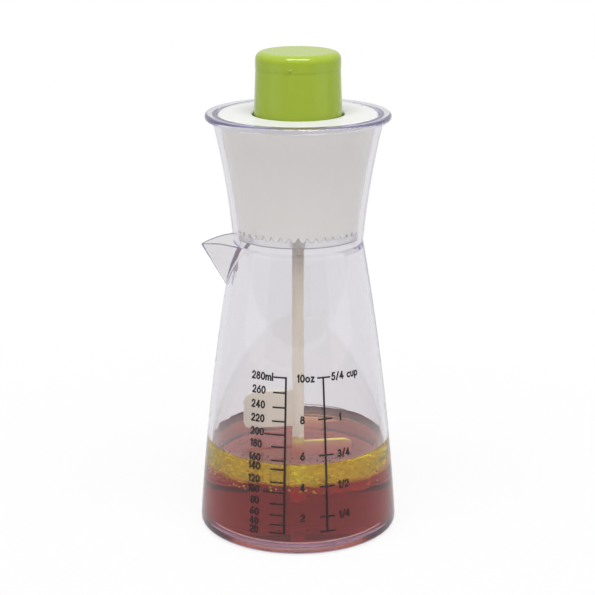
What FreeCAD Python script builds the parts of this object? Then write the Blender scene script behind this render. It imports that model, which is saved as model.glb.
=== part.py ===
"""Push-button dressing mixer: a clear carafe with a pouring spout and a drop-in lid. Pressing the lid's
button runs a nut down a twisted rod, and the rod spins a shaft with two paddles.
Millimetres and degrees, +Z up, origin at the centre of the foot, spout towards -X, scale side towards -Y."""
import FreeCAD, Part
import math
import os
import re
import Sketcher

Vector = FreeCAD.Vector

# Driving sizes: name, value, meaning
SIZES = [
    ("base_radius", 41.8, "outer radius of the carafe at its foot"),
    ("base_edge", 3.6, "height of the base plate's edge, where the wall starts"),
    ("base_step", 0.9, "how far the plate's plug stands up inside the wall"),
    ("base_gap", 0.1, "play between the plate's plug and the wall"),
    ("foot_round", 2.0, "rounding of the plate's lower edge"),
    ("foot_recess", 0.8, "depth of the hollow under the plate"),
    ("foot_ring", 6.0, "width of the ring that the plate stands on"),
    ("wall", 2.2, "wall of the carafe"),
    ("waist_height", 123.9, "height of the waist"),
    ("waist_radius", 26.95, "outer radius at the waist"),
    ("body_arc", 1130.0, "radius of the bulge between foot and waist"),
    ("neck_height", 50.3, "waist to the underside of the rim"),
    ("neck_top_radius", 35.0, "outer radius of the neck under the rim"),
    ("flare_arc", 340.0, "radius of the neck's hollow flare"),
    ("rim_radius", 38.0, "outer radius of the rim"),
    ("rim_thickness", 2.6, "height of the rim"),
    ("rim_round", 1.1, "rounding of the rim's outer edges"),
    ("rim_inner_round", 0.7, "rounding of the rim's inner edge"),
    ("ledge_rise", 2.1, "lid ledge above the waist"),
    ("ledge_width", 0.8, "width of the lid ledge"),
    ("ledge_taper", 2.6, "height of the slope under the ledge ring"),
    ("spout_inset", 0.5, "spout tip inside the line of the foot"),
    ("spout_depth", 19.4, "root of the spout below its rear edge"),
    ("spout_root_inset", 0.4, "how far the spout's root lies inside the body"),
    ("spout_drop", 0.5, "spout's rear edge below the waist"),
    ("spout_dip", 2.3, "spout tip below its rear edge"),
    ("spout_bow_radius", 33.0, "radius of the spout's bowed upper edge"),
    ("spout_tip_round", 2.2, "rounding of the spout's tip"),
    ("spout_root_round", 4.0, "rounding of the spout's keel at its root"),
    ("spout_tip_angle", 38.0, "half angle of the spout at its upper edge"),
    ("spout_root_angle", 48.0, "half angle of the spout at its root"),
    ("spout_wall", 1.5, "wall of the spout"),
    ("spout_back_share", 0.6, "inner end of the spout's block as a share of the inside radius"),
    ("channel_back_share", 0.7, "inner end of the spout's channel as a share of the inside radius"),
    ("lid_gap", 0.35, "play between lid and neck"),
    ("lid_wall", 2.0, "wall of the lid's cone"),
    ("deck_sink", 0.3, "deck below the rim"),
    ("deck_thickness", 2.0, "thickness of the deck"),
    ("deck_round", 0.9, "rounding of the deck's outer edge"),
    ("deck_rib", 5.0, "depth of the deck's locating rib"),
    ("deck_rib_wall", 1.4, "wall of the locating rib"),
    ("fit_gap", 0.1, "play where one lid piece plugs into another"),
    ("floor_rise", 5.6, "lid floor above the ledge"),
    ("floor_thickness", 2.0, "thickness of the lid floor"),
    ("comb_count", 44.0, "tongues round the lid's lower edge"),
    ("comb_height", 1.8, "height of the comb's gaps"),
    ("comb_mouth", 2.5, "width of a gap at its mouth"),
    ("comb_crown", 0.6, "width of a gap at its crown"),
    ("seal_band", 2.6, "height of the seal under the comb"),
    ("seal_gap", 0.1, "play between the seal's teeth and the comb"),
    ("tooth_drop", 0.2, "tips of the seal's teeth below the crowns of the gaps"),
    ("hole_play", 0.7, "button hole wider than the button at the deck"),
    ("hole_round", 0.9, "rounding of the button hole"),
    ("sleeve_wall", 1.8, "wall of the button's guide sleeve"),
    ("sleeve_tail", 2.4, "sleeve past the keys at full stroke"),
    ("button_rise", 25.2, "button above the deck"),
    ("button_top_radius", 17.3, "radius of the button under its crown"),
    ("button_deck_radius", 18.0, "radius of the button at the deck"),
    ("crown_round", 3.2, "rounding of the button's crown"),
    ("crown_band", 6.6, "height of the crown down to the witness line"),
    ("crown_step", 0.12, "step at the witness line"),
    ("button_wall", 2.3, "wall of the button"),
    ("press_travel", 20.0, "stroke of the button"),
    ("key_width", 4.2, "width of the button's keys"),
    ("key_height", 4.2, "height of the button's keys"),
    ("key_cover", 2.6, "deck's underside to the top of the key slots"),
    ("key_gap", 0.3, "play between keys and slots"),
    ("skirt_tail", 0.8, "button below its keys"),
    ("seat_step", 1.0, "width of the carrier's stop in the button"),
    ("carrier_depth", 8.0, "height of the nut carrier in the button"),
    ("carrier_ring", 1.8, "wall of the carrier's outer ring"),
    ("carrier_roof", 2.5, "plate over the nut"),
    ("carrier_tail", 3.0, "nut pocket below the carrier's ring"),
    ("pocket_wall", 2.0, "least wall round the nut pocket"),
    ("nut_width", 15.0, "width of the nut across its flats"),
    ("nut_height", 8.2, "height of the nut"),
    ("washer_thickness", 0.6, "spring and thrust washers"),
    ("drive_lead", 25.0, "stroke per turn of the twisted rod"),
    ("drive_gap", 0.15, "play between the rod and the nut"),
    ("rod_core_radius", 2.7, "core of the twisted rod"),
    ("fin_radius", 4.4, "reach of the rod's two fins"),
    ("fin_width", 2.2, "thickness of the fins"),
    ("rod_head", 1.0, "rod above the carrier at rest"),
    ("journal_radius", 3.0, "rod in its bush"),
    ("journal_play", 0.06, "running fit in the bush"),
    ("collar_radius", 5.4, "thrust collar of the rod"),
    ("collar_height", 1.6, "height of the thrust collar"),
    ("bush_wall", 1.5, "wall of the bush"),
    ("bush_flange", 1.0, "thickness of the bush's flange"),
    ("boss_wall", 2.0, "wall of the floor's boss"),
    ("boss_rise", 3.4, "boss above the floor"),
    ("boss_drop", 1.0, "boss below the floor"),
    ("wiper_height", 1.6, "height of the shaft seal"),
    ("clip_thickness", 0.6, "thickness of the retaining clip"),
    ("clip_radius", 4.6, "outer radius of the retaining clip"),
    ("clip_groove", 0.7, "depth of the clip's groove"),
    ("clip_gap", 0.1, "play of the clip"),
    ("clip_mouth_share", 0.8, "half width of the clip's mouth as a share of the groove's radius"),
    ("rod_tail", 1.0, "journal below the clip"),
    ("tang_radius", 1.6, "tang that plugs into the agitator"),
    ("tang_flat", 1.0, "tang's flat from the axis"),
    ("tang_length", 6.4, "length of the tang"),
    ("hub_radius", 2.9, "agitator's socket"),
    ("hub_length", 7.6, "length of the agitator's socket"),
    ("shaft_radius", 2.45, "agitator's shaft"),
    ("shaft_end_height", 10.0, "lower end of the shaft"),
    ("shaft_end_round", 1.45, "rounding of the shaft's lower end"),
    ("paddle_play", 0.65, "paddles inside the ledge when lifted out"),
    ("paddle_thickness", 2.0, "thickness of the paddles"),
    ("paddle_tall", 15.9, "height of the paddles"),
    ("upper_paddle_height", 42.0, "lower edge of the left paddle"),
    ("lower_paddle_height", 13.2, "lower edge of the right paddle"),
    ("paddle_top_round", 5.0, "upper corner of the paddles"),
    ("paddle_low_round", 2.6, "lower corner of the paddles"),
    ("paddle_angle", 9.0, "paddles turned away from the spout's line"),
    ("spring_radius", 9.6, "mean radius of the return spring"),
    ("spring_wire", 1.0, "wire of the return spring"),
    ("spring_turns", 6.0, "turns of the return spring"),
    ("spring_gap", 0.05, "spring's ends from their seats"),
    ("washer_lip", 1.5, "spring washer past the spring's mean radius"),
    ("cut_margin", 1.0, "how far cutting shapes reach past the solid"),
]

# Sizes worked out from the driving ones
DERIVED = [
    ("floor_height", "base_edge + base_step"),
    ("rim_under", "waist_height + neck_height"),
    ("rim_height", "rim_under + rim_thickness"),
    ("body_chord", "sqrt((base_radius - waist_radius)^2 + (waist_height - base_edge)^2)"),
    ("body_reach", "sqrt(body_arc^2 - body_chord^2 / 4) / body_chord"),
    ("body_centre_r", "(base_radius + waist_radius) / 2 - (waist_height - base_edge) * body_reach"),
    ("body_centre_z", "(base_edge + waist_height) / 2 - (base_radius - waist_radius) * body_reach"),
    ("neck_chord", "sqrt((neck_top_radius - waist_radius)^2 + neck_height^2)"),
    ("neck_reach", "sqrt(flare_arc^2 - neck_chord^2 / 4) / neck_chord"),
    ("neck_centre_r", "(neck_top_radius + waist_radius) / 2 + neck_height * neck_reach"),
    ("neck_centre_z", "waist_height + neck_height / 2 - (neck_top_radius - waist_radius) * neck_reach"),
    ("ledge_height", "waist_height + ledge_rise"),
    ("waist_inner", "waist_radius - wall"),
    ("ledge_bore", "waist_inner - ledge_width"),
    ("spout_top", "waist_height - spout_drop"),
    ("spout_reach", "base_radius - spout_inset"),
    ("spout_root_height", "spout_top - spout_depth"),
    ("lid_inset", "wall + lid_gap"),
    ("deck_height", "rim_height - deck_sink"),
    ("deck_under", "deck_height - deck_thickness"),
    ("comb_bottom", "ledge_height + seal_band"),
    ("comb_top", "comb_bottom + comb_height"),
    ("floor_under", "ledge_height + floor_rise"),
    ("floor_top", "floor_under + floor_thickness"),
    ("boss_bottom", "floor_under - boss_drop"),
    ("boss_top", "floor_top + boss_rise"),
    ("bush_bore", "journal_radius + journal_play"),
    ("bush_radius", "bush_bore + bush_wall"),
    ("boss_bore", "bush_radius + fit_gap"),
    ("boss_radius", "boss_bore + boss_wall"),
    ("wiper_top", "boss_bottom + wiper_height"),
    ("bush_top", "boss_top + bush_flange"),
    ("collar_bottom", "bush_top + washer_thickness"),
    ("collar_top", "collar_bottom + collar_height"),
    ("hole_radius", "button_deck_radius + hole_play"),
    ("sleeve_radius", "hole_radius + sleeve_wall"),
    ("slot_top", "deck_under - key_cover"),
    ("key_top", "slot_top - key_gap"),
    ("key_bottom", "key_top - key_height"),
    ("button_bottom", "key_bottom - skirt_tail"),
    ("button_top", "deck_height + button_rise"),
    ("button_draft", "(button_deck_radius - button_top_radius) / (button_rise - crown_band)"),
    ("sleeve_bottom", "key_bottom - press_travel - sleeve_tail"),
    ("carrier_top", "button_bottom + carrier_depth"),
    ("pocket_bottom", "button_bottom - carrier_tail"),
    ("pocket_top", "carrier_top - carrier_roof"),
    ("pocket_radius", "(nut_width / 2 + fit_gap) / cos(30) + pocket_wall"),
    ("nut_bottom", "pocket_top - fit_gap - nut_height"),
    ("seat_radius", "button_deck_radius - button_wall"),
    ("spring_top", "pocket_bottom - washer_thickness"),
    ("rod_top", "carrier_top + rod_head"),
    ("clip_top", "boss_bottom - clip_gap"),
    ("clip_bottom", "clip_top - clip_thickness"),
    ("journal_bottom", "clip_bottom - clip_gap - rod_tail"),
    ("hub_top", "journal_bottom - fit_gap"),
    ("hub_bottom", "hub_top - hub_length"),
    ("paddle_reach", "ledge_bore - paddle_play"),
]

SIZE_NAMES = {name for name, value, meaning in SIZES}
DERIVED_NAMES = {name for name, formula in DERIVED}

doc = FreeCAD.newDocument("dressing_mixer")


def bound(expression):
    """The expression with each size written as its sheet's cell."""
    def cell(match):
        word = match.group()
        if word in SIZE_NAMES:
            return "Sizes." + word
        if word in DERIVED_NAMES:
            return "Derived." + word
        return word
    return re.sub(r"[a-z][a-z_]*", cell, expression)


def fill_sheets():
    """Write the driving sizes as plain numbers, and the derived ones as formulas on a sheet of their own."""
    sizes = doc.addObject("Spreadsheet::Sheet", "Sizes")
    for row, (name, value, meaning) in enumerate(SIZES, 1):
        sizes.set(f"A{row}", meaning)
        sizes.set(f"B{row}", str(value))
        sizes.setAlias(f"B{row}", name)
    derived = doc.addObject("Spreadsheet::Sheet", "Derived")
    for row, (name, formula) in enumerate(DERIVED, 1):
        derived.set(f"B{row}", "=" + bound(formula))
        derived.setAlias(f"B{row}", name)
    doc.recompute()
    return sizes


sheet = fill_sheets()


def size(expression):
    """The number that an expression of sizes gives now."""
    value = sheet.evalExpression(bound(expression))
    return float(getattr(value, "Value", value))


def body_line(height, inset="0"):
    """Radius of the carafe below the waist at a height, moved in by the inset."""
    return f"(body_centre_r + sqrt((body_arc - ({inset}))^2 - ({height} - body_centre_z)^2))"


def neck_line(height, inset="0"):
    """Radius of the carafe above the waist at a height, moved in by the inset."""
    return f"(neck_centre_r - sqrt((flare_arc + ({inset}))^2 - ({height} - neck_centre_z)^2))"


def new_body(label):
    body = doc.addObject("PartDesign::Body", label)
    body.Label = label
    return body


def origin_item(body, role):
    """One of the body's own planes or axes."""
    return next(item for item in body.Origin.OriginFeatures if item.Role == role)


def new_sketch(body, name, role, height=None, turn=None, turn_axis=Vector(0, 0, 1)):
    """An empty sketch on one of the body's own planes, lifted or turned by an expression."""
    sketch = body.newObject("Sketcher::SketchObject", name)
    sketch.AttachmentSupport = (origin_item(body, role), [""])
    sketch.MapMode = "FlatFace"
    lift = size(height) if height else 0.0
    angle = size(turn) if turn else 0.0
    sketch.AttachmentOffset = FreeCAD.Placement(Vector(0, 0, lift), FreeCAD.Rotation(turn_axis, angle))
    if height:
        sketch.setExpression("AttachmentOffset.Base.z", bound(height))
    if turn:
        sketch.setExpression("AttachmentOffset.Rotation.Angle", bound(turn))
    return sketch


def arc_between(start, end, radius, side):
    """The short arc between two points, with its centre on the left (1) or right (-1) of the way."""
    chord = end - start
    half = chord.Length / 2
    left = Vector(-chord.y, chord.x, 0).normalize()
    centre = (start + end) * 0.5 + left * (side * math.sqrt(max(radius ** 2 - half ** 2, 0.0)))
    first, last = (start, end) if side > 0 else (end, start)
    first_angle = math.atan2(first.y - centre.y, first.x - centre.x)
    last_angle = math.atan2(last.y - centre.y, last.x - centre.x)
    if last_angle < first_angle:
        last_angle += 2 * math.pi
    return Part.ArcOfCircle(Part.Circle(centre, Vector(0, 0, 1), radius), first_angle, last_angle)


def draw(sketch, corners, arcs=None):
    """A closed outline through corners given as pairs of expressions. arcs maps the number of the corner
    that an arc starts from to its radius and the side of its centre; the other edges are straight."""
    arcs = arcs or {}
    points = [Vector(size(across), size(up), 0) for across, up in corners]
    edges = []
    for number, start in enumerate(points):
        end = points[(number + 1) % len(points)]
        if number in arcs:
            radius, side = arcs[number]
            edge = sketch.addGeometry(arc_between(start, end, size(radius), side), False)
            edges.append((edge, 1, 2) if side > 0 else (edge, 2, 1))
        else:
            edge = sketch.addGeometry(Part.LineSegment(start, end), False)
            edges.append((edge, 1, 2))
    for number, (edge, first, last) in enumerate(edges):
        following, following_first, _ = edges[(number + 1) % len(edges)]
        sketch.addConstraint(Sketcher.Constraint("Coincident", edge, last, following, following_first))
    for number, (across, up) in enumerate(corners):
        edge, first, _ = edges[number]
        pin(sketch, "DistanceX", edge, first, across, f"across{number}")
        pin(sketch, "DistanceY", edge, first, up, f"up{number}")
    for number, (radius, side) in arcs.items():
        edge = edges[number][0]
        index = sketch.addConstraint(Sketcher.Constraint("Radius", edge, size(radius)))
        sketch.renameConstraint(index, f"arc{number}")
        sketch.setExpression(f"Constraints.arc{number}", bound(radius))
    return sketch


def pin(sketch, kind, edge, point, expression, name):
    """Hold one coordinate of a corner at an expression, or on the axis where it is nought."""
    if expression == "0":
        axis = -2 if kind == "DistanceX" else -1
        sketch.addConstraint(Sketcher.Constraint("PointOnObject", edge, point, axis))
        return
    index = sketch.addConstraint(Sketcher.Constraint(kind, -1, 1, edge, point, size(expression)))
    sketch.renameConstraint(index, name)
    sketch.setExpression(f"Constraints.{name}", bound(expression))


def turned(body, kind, name, corners, arcs=None):
    """Revolve an outline in the XZ plane round Z: kind is Revolution, or Groove to cut."""
    sketch = draw(new_sketch(body, name + "_outline", "XZ_Plane"), corners, arcs)
    feature = body.newObject("PartDesign::" + kind, name)
    feature.Profile = sketch
    feature.ReferenceAxis = (sketch, ["V_Axis"])
    feature.Angle = 360
    doc.recompute()
    return feature


def extruded(body, kind, name, sketch, length, both_ways=False, backwards=False):
    """Pad or Pocket a sketch by a length, on both sides of its plane where asked."""
    feature = body.newObject("PartDesign::" + kind, name)
    feature.Profile = sketch
    feature.Length = size(length)
    feature.setExpression("Length", bound(length))
    if both_ways:
        feature.SideType = "Symmetric"
    feature.Reversed = backwards
    doc.recompute()
    return feature


def lofted(body, kind, name, low, high):
    feature = body.newObject("PartDesign::" + kind, name)
    feature.Profile = low
    feature.Sections = [high]
    doc.recompute()
    return feature


def ring_pattern(body, name, feature, count):
    """Repeat a feature round Z."""
    pattern = body.newObject("PartDesign::PolarPattern", name)
    pattern.Originals = [feature]
    pattern.Axis = (origin_item(body, "Z_Axis"), [""])
    pattern.Angle = 360
    pattern.Occurrences = int(round(size(count)))
    pattern.setExpression("Occurrences", bound(count))
    body.Tip = pattern
    doc.recompute()
    return pattern


def twisted(body, kind, name, sketch, height):
    """Sweep a sketch up Z while it turns at the drive's lead."""
    feature = body.newObject("PartDesign::" + kind, name)
    feature.Profile = sketch
    feature.ReferenceAxis = (sketch, ["N_Axis"])
    feature.Mode = 0
    feature.Pitch = size("drive_lead")
    feature.Height = size(height)
    feature.Angle = 0
    feature.LeftHanded = False
    feature.setExpression("Pitch", bound("drive_lead"))
    feature.setExpression("Height", bound(height))
    doc.recompute()
    return feature


def spout_section(body, name, height, tip, tip_round, half_angle, back):
    """A level cut through the spout: a rounded V with its tip towards -X, closed at the back."""
    start = f"({tip} - ({tip_round}) * (1 - sin({half_angle})))"
    rise = f"(({tip_round}) * cos({half_angle}))"
    spread = f"({rise} + ({start} - ({back})) * tan({half_angle}))"
    corners = [(f"-{start}", rise), (f"-{start}", f"-{rise}"),
               (f"-({back})", f"-{spread}"), (f"-({back})", spread)]
    return draw(new_sketch(body, name, "XY_Plane", height), corners, {0: (tip_round, 1)})


def make_carafe():
    """Spout block, turned outside, turned inside, then the spout's channel through the wall."""
    body = new_body("carafe")
    root_tip = f"({body_line('spout_root_height')} - spout_root_inset)"
    outer_back = "waist_inner * spout_back_share"
    low = spout_section(body, "spout_low", "spout_root_height", root_tip, "spout_root_round",
                        "spout_root_angle", outer_back)
    high = spout_section(body, "spout_high", "spout_top", "spout_reach", "spout_tip_round",
                         "spout_tip_angle", outer_back)
    lofted(body, "AdditiveLoft", "spout_block", low, high)
    trim = draw(new_sketch(body, "spout_trim", "XZ_Plane"),
                [("-spout_reach", "spout_top - spout_dip"), ("-waist_radius", "spout_top"),
                 ("-waist_radius", "spout_top + cut_margin"),
                 ("-spout_reach - cut_margin", "spout_top + cut_margin"),
                 ("-spout_reach - cut_margin", "spout_top - spout_dip")],
                {0: ("spout_bow_radius", -1)})
    extruded(body, "Pocket", "spout_lip", trim, "spout_reach * 2", both_ways=True)
    turned(body, "Revolution", "outside",
           [("0", "base_edge"), ("base_radius", "base_edge"), ("waist_radius", "waist_height"),
            ("neck_top_radius", "rim_under"), ("rim_radius - rim_round", "rim_under"),
            ("rim_radius", "rim_under + rim_round"), ("rim_radius", "rim_height - rim_round"),
            ("rim_radius - rim_round", "rim_height"), ("0", "rim_height")],
           {1: ("body_arc", 1), 2: ("flare_arc", -1), 4: ("rim_round", 1), 6: ("rim_round", 1)})
    under_ledge = "(spout_top - ledge_taper)"
    mouth = neck_line("(rim_height - rim_inner_round)", "wall")
    below = "(base_edge - cut_margin)"
    turned(body, "Groove", "inside",
           [("0", below), (body_line(below, "wall"), below),
            (body_line(under_ledge, "wall"), under_ledge), ("ledge_bore", "spout_top"),
            ("ledge_bore", "ledge_height"), (neck_line("ledge_height", "wall"), "ledge_height"),
            (mouth, "rim_height - rim_inner_round"), (f"{mouth} + rim_inner_round", "rim_height"),
            (f"{mouth} + rim_inner_round", "rim_height + cut_margin"), ("0", "rim_height + cut_margin")],
           {1: ("body_arc - wall", 1), 5: ("flare_arc + wall", -1), 6: ("rim_inner_round", -1)})
    channel_back = "waist_inner * channel_back_share"
    low = spout_section(body, "channel_low", "spout_root_height", f"({root_tip} - spout_wall)",
                        "spout_root_round - spout_wall", "spout_root_angle", channel_back)
    high = spout_section(body, "channel_high", "spout_top", "(spout_reach - spout_wall)",
                         "spout_tip_round - spout_wall", "spout_tip_angle", channel_back)
    lofted(body, "SubtractiveLoft", "spout_channel", low, high)
    return body


def make_base_plate():
    """Plate with a rounded edge, a plug inside the wall and a hollow that leaves a foot ring."""
    body = new_body("base_plate")
    plug = f"({body_line('floor_height', 'wall')} - base_gap)"
    ring = "(base_radius - foot_round - foot_ring)"
    turned(body, "Revolution", "plate",
           [("0", "foot_recess"), (f"{ring} - foot_recess", "foot_recess"), (ring, "0"),
            ("base_radius - foot_round", "0"), ("base_radius", "foot_round"), ("base_radius", "base_edge"),
            (plug, "base_edge"), (plug, "floor_height"), ("0", "floor_height")],
           {3: ("foot_round", 1)})
    return body


def make_lid_cup():
    """Cone that follows the neck, with a floor, a bearing boss and a comb round its lower edge."""
    body = new_body("lid_cup")
    inner = "lid_inset + lid_wall"
    skirt = f"({neck_line('comb_bottom', inner)})"
    turned(body, "Revolution", "cone",
           [("boss_bore", "wiper_top"), ("boss_radius - boss_wall / 2", "wiper_top"),
            ("boss_radius - boss_wall / 2", "boss_bottom"), ("boss_radius", "boss_bottom"),
            ("boss_radius", "floor_under"), (skirt, "floor_under"), (skirt, "comb_bottom"),
            (neck_line("comb_bottom", "lid_inset"), "comb_bottom"),
            (neck_line("floor_under", "lid_inset"), "floor_under"),
            (neck_line("deck_under", "lid_inset"), "deck_under"),
            (neck_line("deck_under", inner), "deck_under"), (neck_line("floor_top", inner), "floor_top"),
            ("boss_radius", "floor_top"), ("boss_radius", "boss_top"), ("boss_bore", "boss_top")],
           {8: ("flare_arc + lid_inset", -1), 10: (f"flare_arc + {inner}", 1)})
    gap = draw(new_sketch(body, "comb_gap", "XZ_Plane", f"{skirt} - seal_gap"),
               [("-comb_mouth / 2", "comb_bottom - cut_margin"),
                ("comb_mouth / 2", "comb_bottom - cut_margin"),
                ("comb_mouth / 2", "comb_bottom"), ("comb_crown / 2", "comb_top"),
                ("-comb_crown / 2", "comb_top"), ("-comb_mouth / 2", "comb_bottom")])
    cut = extruded(body, "Pocket", "first_gap", gap, "lid_wall + cut_margin * 2", backwards=True)
    ring_pattern(body, "comb", cut, "comb_count")
    return body


def make_lid_seal():
    """Soft ring on the ledge, with a tooth in each gap of the comb."""
    body = new_body("lid_seal")
    skirt = f"({neck_line('comb_bottom', 'lid_inset + lid_wall')})"
    top = "(comb_top - tooth_drop)"
    turned(body, "Revolution", "ring",
           [(skirt, "ledge_height"), (neck_line("ledge_height", "lid_inset"), "ledge_height"),
            (neck_line(top, "lid_inset"), top), (skirt, top)])
    pitch = f"(2 * pi * {neck_line('comb_top', 'lid_inset')} / comb_count)"
    foot = f"({pitch} - comb_mouth) / 2 + seal_gap"
    head = f"({pitch} - comb_crown) / 2 + seal_gap"
    tongue = draw(new_sketch(body, "tongue_room", "XZ_Plane", f"{skirt} - seal_gap"),
                  [(f"-({foot})", "comb_bottom - seal_gap"), (foot, "comb_bottom - seal_gap"),
                   (head, "comb_top"), (head, "comb_top + cut_margin"),
                   (f"-({head})", "comb_top + cut_margin"), (f"-({head})", "comb_top")])
    cut = extruded(body, "Pocket", "first_tongue", tongue, "lid_wall + cut_margin * 2", backwards=True)
    ring_pattern(body, "crown", cut, "comb_count")
    half_step = "180 / comb_count"
    body.Placement = FreeCAD.Placement(Vector(), FreeCAD.Rotation(Vector(0, 0, 1), size(half_step)))
    body.setExpression("Placement.Rotation.Angle", bound(half_step))
    return body


def make_lid_cover():
    """Deck with the button hole, a guide sleeve with two key slots and a rib that plugs into the cup."""
    body = new_body("lid_cover")
    edge = f"({neck_line('(deck_height - deck_round)', 'lid_inset')})"
    rib = f"({neck_line('(deck_under - deck_rib)', 'lid_inset + lid_wall')} - fit_gap)"
    turned(body, "Revolution", "deck",
           [("hole_radius", "sleeve_bottom"), ("sleeve_radius", "sleeve_bottom"),
            ("sleeve_radius", "deck_under"),
            (f"{rib} - deck_rib_wall", "deck_under"), (f"{rib} - deck_rib_wall", "deck_under - deck_rib"),
            (rib, "deck_under - deck_rib"), (rib, "deck_under"),
            (neck_line("deck_under", "lid_inset"), "deck_under"), (edge, "deck_height - deck_round"),
            (f"{edge} - deck_round", "deck_height"), ("hole_radius + hole_round", "deck_height"),
            ("hole_radius", "deck_height - hole_round")],
           {7: ("flare_arc + lid_inset", -1), 8: ("deck_round", 1), 10: ("hole_round", 1)})
    slot_half = "(key_width / 2 + key_gap)"
    slot = draw(new_sketch(body, "key_slot", "XZ_Plane"),
                [(f"-{slot_half}", "sleeve_bottom - cut_margin"), (slot_half, "sleeve_bottom - cut_margin"),
                 (slot_half, "slot_top"), (f"-{slot_half}", "slot_top")])
    extruded(body, "Pocket", "key_slots", slot, "(sleeve_radius + cut_margin) * 2", both_ways=True)
    return body


def make_button():
    """Drafted cap with a rounded crown, two keys on its skirt and a seat for the nut carrier."""
    body = new_body("button")
    witness = "(button_top - crown_band)"
    low = "(button_deck_radius + (deck_height - button_bottom) * button_draft)"
    crown = "(button_top_radius + crown_step)"
    turned(body, "Revolution", "cap",
           [("0", "button_bottom"), (low, "button_bottom"), ("button_top_radius", witness),
            (crown, witness), (crown, "button_top - crown_round"),
            (f"{crown} - crown_round", "button_top"), ("0", "button_top")],
           {4: ("crown_round", 1)})
    key = draw(new_sketch(body, "key", "XZ_Plane"),
               [("-key_width / 2", "key_bottom"), ("key_width / 2", "key_bottom"),
                ("key_width / 2", "key_top"), ("-key_width / 2", "key_top")])
    extruded(body, "Pad", "keys", key, "(sleeve_radius - key_gap) * 2", both_ways=True)
    shoulder = "(seat_radius - seat_step)"
    ceiling = "(button_top - button_wall)"
    inner_top = "(button_top_radius - button_wall)"
    turned(body, "Groove", "hollow",
           [("0", "button_bottom - cut_margin"), ("seat_radius", "button_bottom - cut_margin"),
            ("seat_radius", "carrier_top"), (shoulder, "carrier_top"),
            (f"{inner_top} - crown_round / 2", ceiling), ("0", ceiling)])
    return body


def hexagon(sketch, width):
    """A hexagon of a width across its flats."""
    tip = f"({width}) / 2 / cos(30)"
    flat = f"({width}) / 2"
    return draw(sketch, [(tip, "0"), (f"{tip} / 2", flat), (f"-{tip} / 2", flat),
                         (f"-({tip})", "0"), (f"-{tip} / 2", f"-{flat}"), (f"{tip} / 2", f"-{flat}")])


def make_nut_carrier():
    """Plate that sits in the button, with a hexagonal pocket for the nut under its roof."""
    body = new_body("nut_carrier")
    edge = "(seat_radius - fit_gap)"
    turned(body, "Revolution", "plate",
           [("fin_radius + pocket_wall / 2", "pocket_bottom"), ("pocket_radius", "pocket_bottom"),
            ("pocket_radius", "pocket_top"), (f"{edge} - carrier_ring", "pocket_top"),
            (f"{edge} - carrier_ring", "button_bottom"), (edge, "button_bottom"), (edge, "carrier_top"),
            ("fin_radius + pocket_wall / 2", "carrier_top")])
    pocket = hexagon(new_sketch(body, "nut_pocket", "XY_Plane", "pocket_top"), "nut_width + fit_gap * 2")
    extruded(body, "Pocket", "pocket", pocket, "carrier_depth + carrier_tail")
    return body


def fin_section(sketch, gap):
    """The rod's two fins across the axis, widened by a gap."""
    reach = f"(fin_radius + {gap})"
    half = f"(fin_width / 2 + {gap})"
    return draw(sketch, [(f"-{reach}", f"-{half}"), (reach, f"-{half}"), (reach, half), (f"-{reach}", half)])


def make_drive_nut():
    """Hexagonal nut whose bore is the rod's own twisted section with play round it."""
    body = new_body("drive_nut")
    blank = hexagon(new_sketch(body, "flats", "XY_Plane", "nut_bottom"), "nut_width")
    extruded(body, "Pad", "blank", blank, "nut_height")
    start = "(nut_bottom - cut_margin)"
    turn = f"360 * ({start} - collar_top) / drive_lead"
    fins = fin_section(new_sketch(body, "fin_room", "XY_Plane", start, turn), "drive_gap")
    twisted(body, "SubtractiveHelix", "fin_slots", fins, "nut_height + cut_margin * 2")
    turned(body, "Groove", "core_bore",
           [("0", start), ("rod_core_radius + drive_gap", start),
            ("rod_core_radius + drive_gap", "nut_bottom + nut_height + cut_margin"),
            ("0", "nut_bottom + nut_height + cut_margin")])
    return body


def tang_section(sketch, gap):
    """A circle with one flat, as on the rod's tang, widened by a gap."""
    radius = f"(tang_radius + {gap})"
    flat = f"(tang_flat + {gap})"
    rise = f"sqrt({radius}^2 - {flat}^2)"
    return draw(sketch, [(flat, rise), (f"-{radius}", "0"), (flat, f"-({rise})")],
                {0: (radius, 1), 1: (radius, 1)})


def make_spiral_rod():
    """Journal, clip groove, thrust collar and core in one turning, two twisted fins and the tang."""
    body = new_body("spiral_rod")
    groove = "(journal_radius - clip_groove)"
    turned(body, "Revolution", "core",
           [("0", "journal_bottom"), ("journal_radius", "journal_bottom"),
            ("journal_radius", "clip_bottom - clip_gap"), (groove, "clip_bottom - clip_gap"),
            (groove, "clip_top + clip_gap / 2"), ("journal_radius", "clip_top + clip_gap / 2"),
            ("journal_radius", "collar_bottom"), ("collar_radius", "collar_bottom"),
            ("collar_radius", "collar_top"), ("rod_core_radius", "collar_top"),
            ("rod_core_radius", "rod_top"), ("0", "rod_top")])
    fins = fin_section(new_sketch(body, "fins", "XY_Plane", "collar_top"), "0")
    twisted(body, "AdditiveHelix", "twisted_fins", fins, "rod_top - collar_top")
    tang = tang_section(new_sketch(body, "tang_outline", "XY_Plane", "journal_bottom"), "0")
    extruded(body, "Pad", "tang", tang, "tang_length", backwards=True)
    return body


def flat_ring(label, inner, outer, bottom, top):
    """A plain washer or bush as one turning."""
    body = new_body(label)
    turned(body, "Revolution", "ring", [(inner, bottom), (outer, bottom), (outer, top), (inner, top)])
    return body


def make_shaft_bush():
    """Flanged bush that the rod runs in."""
    body = new_body("shaft_bush")
    turned(body, "Revolution", "sleeve",
           [("bush_bore", "wiper_top"), ("bush_radius", "wiper_top"), ("bush_radius", "boss_top"),
            ("boss_radius", "boss_top"), ("boss_radius", "bush_top"), ("bush_bore", "bush_top")])
    return body


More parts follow.
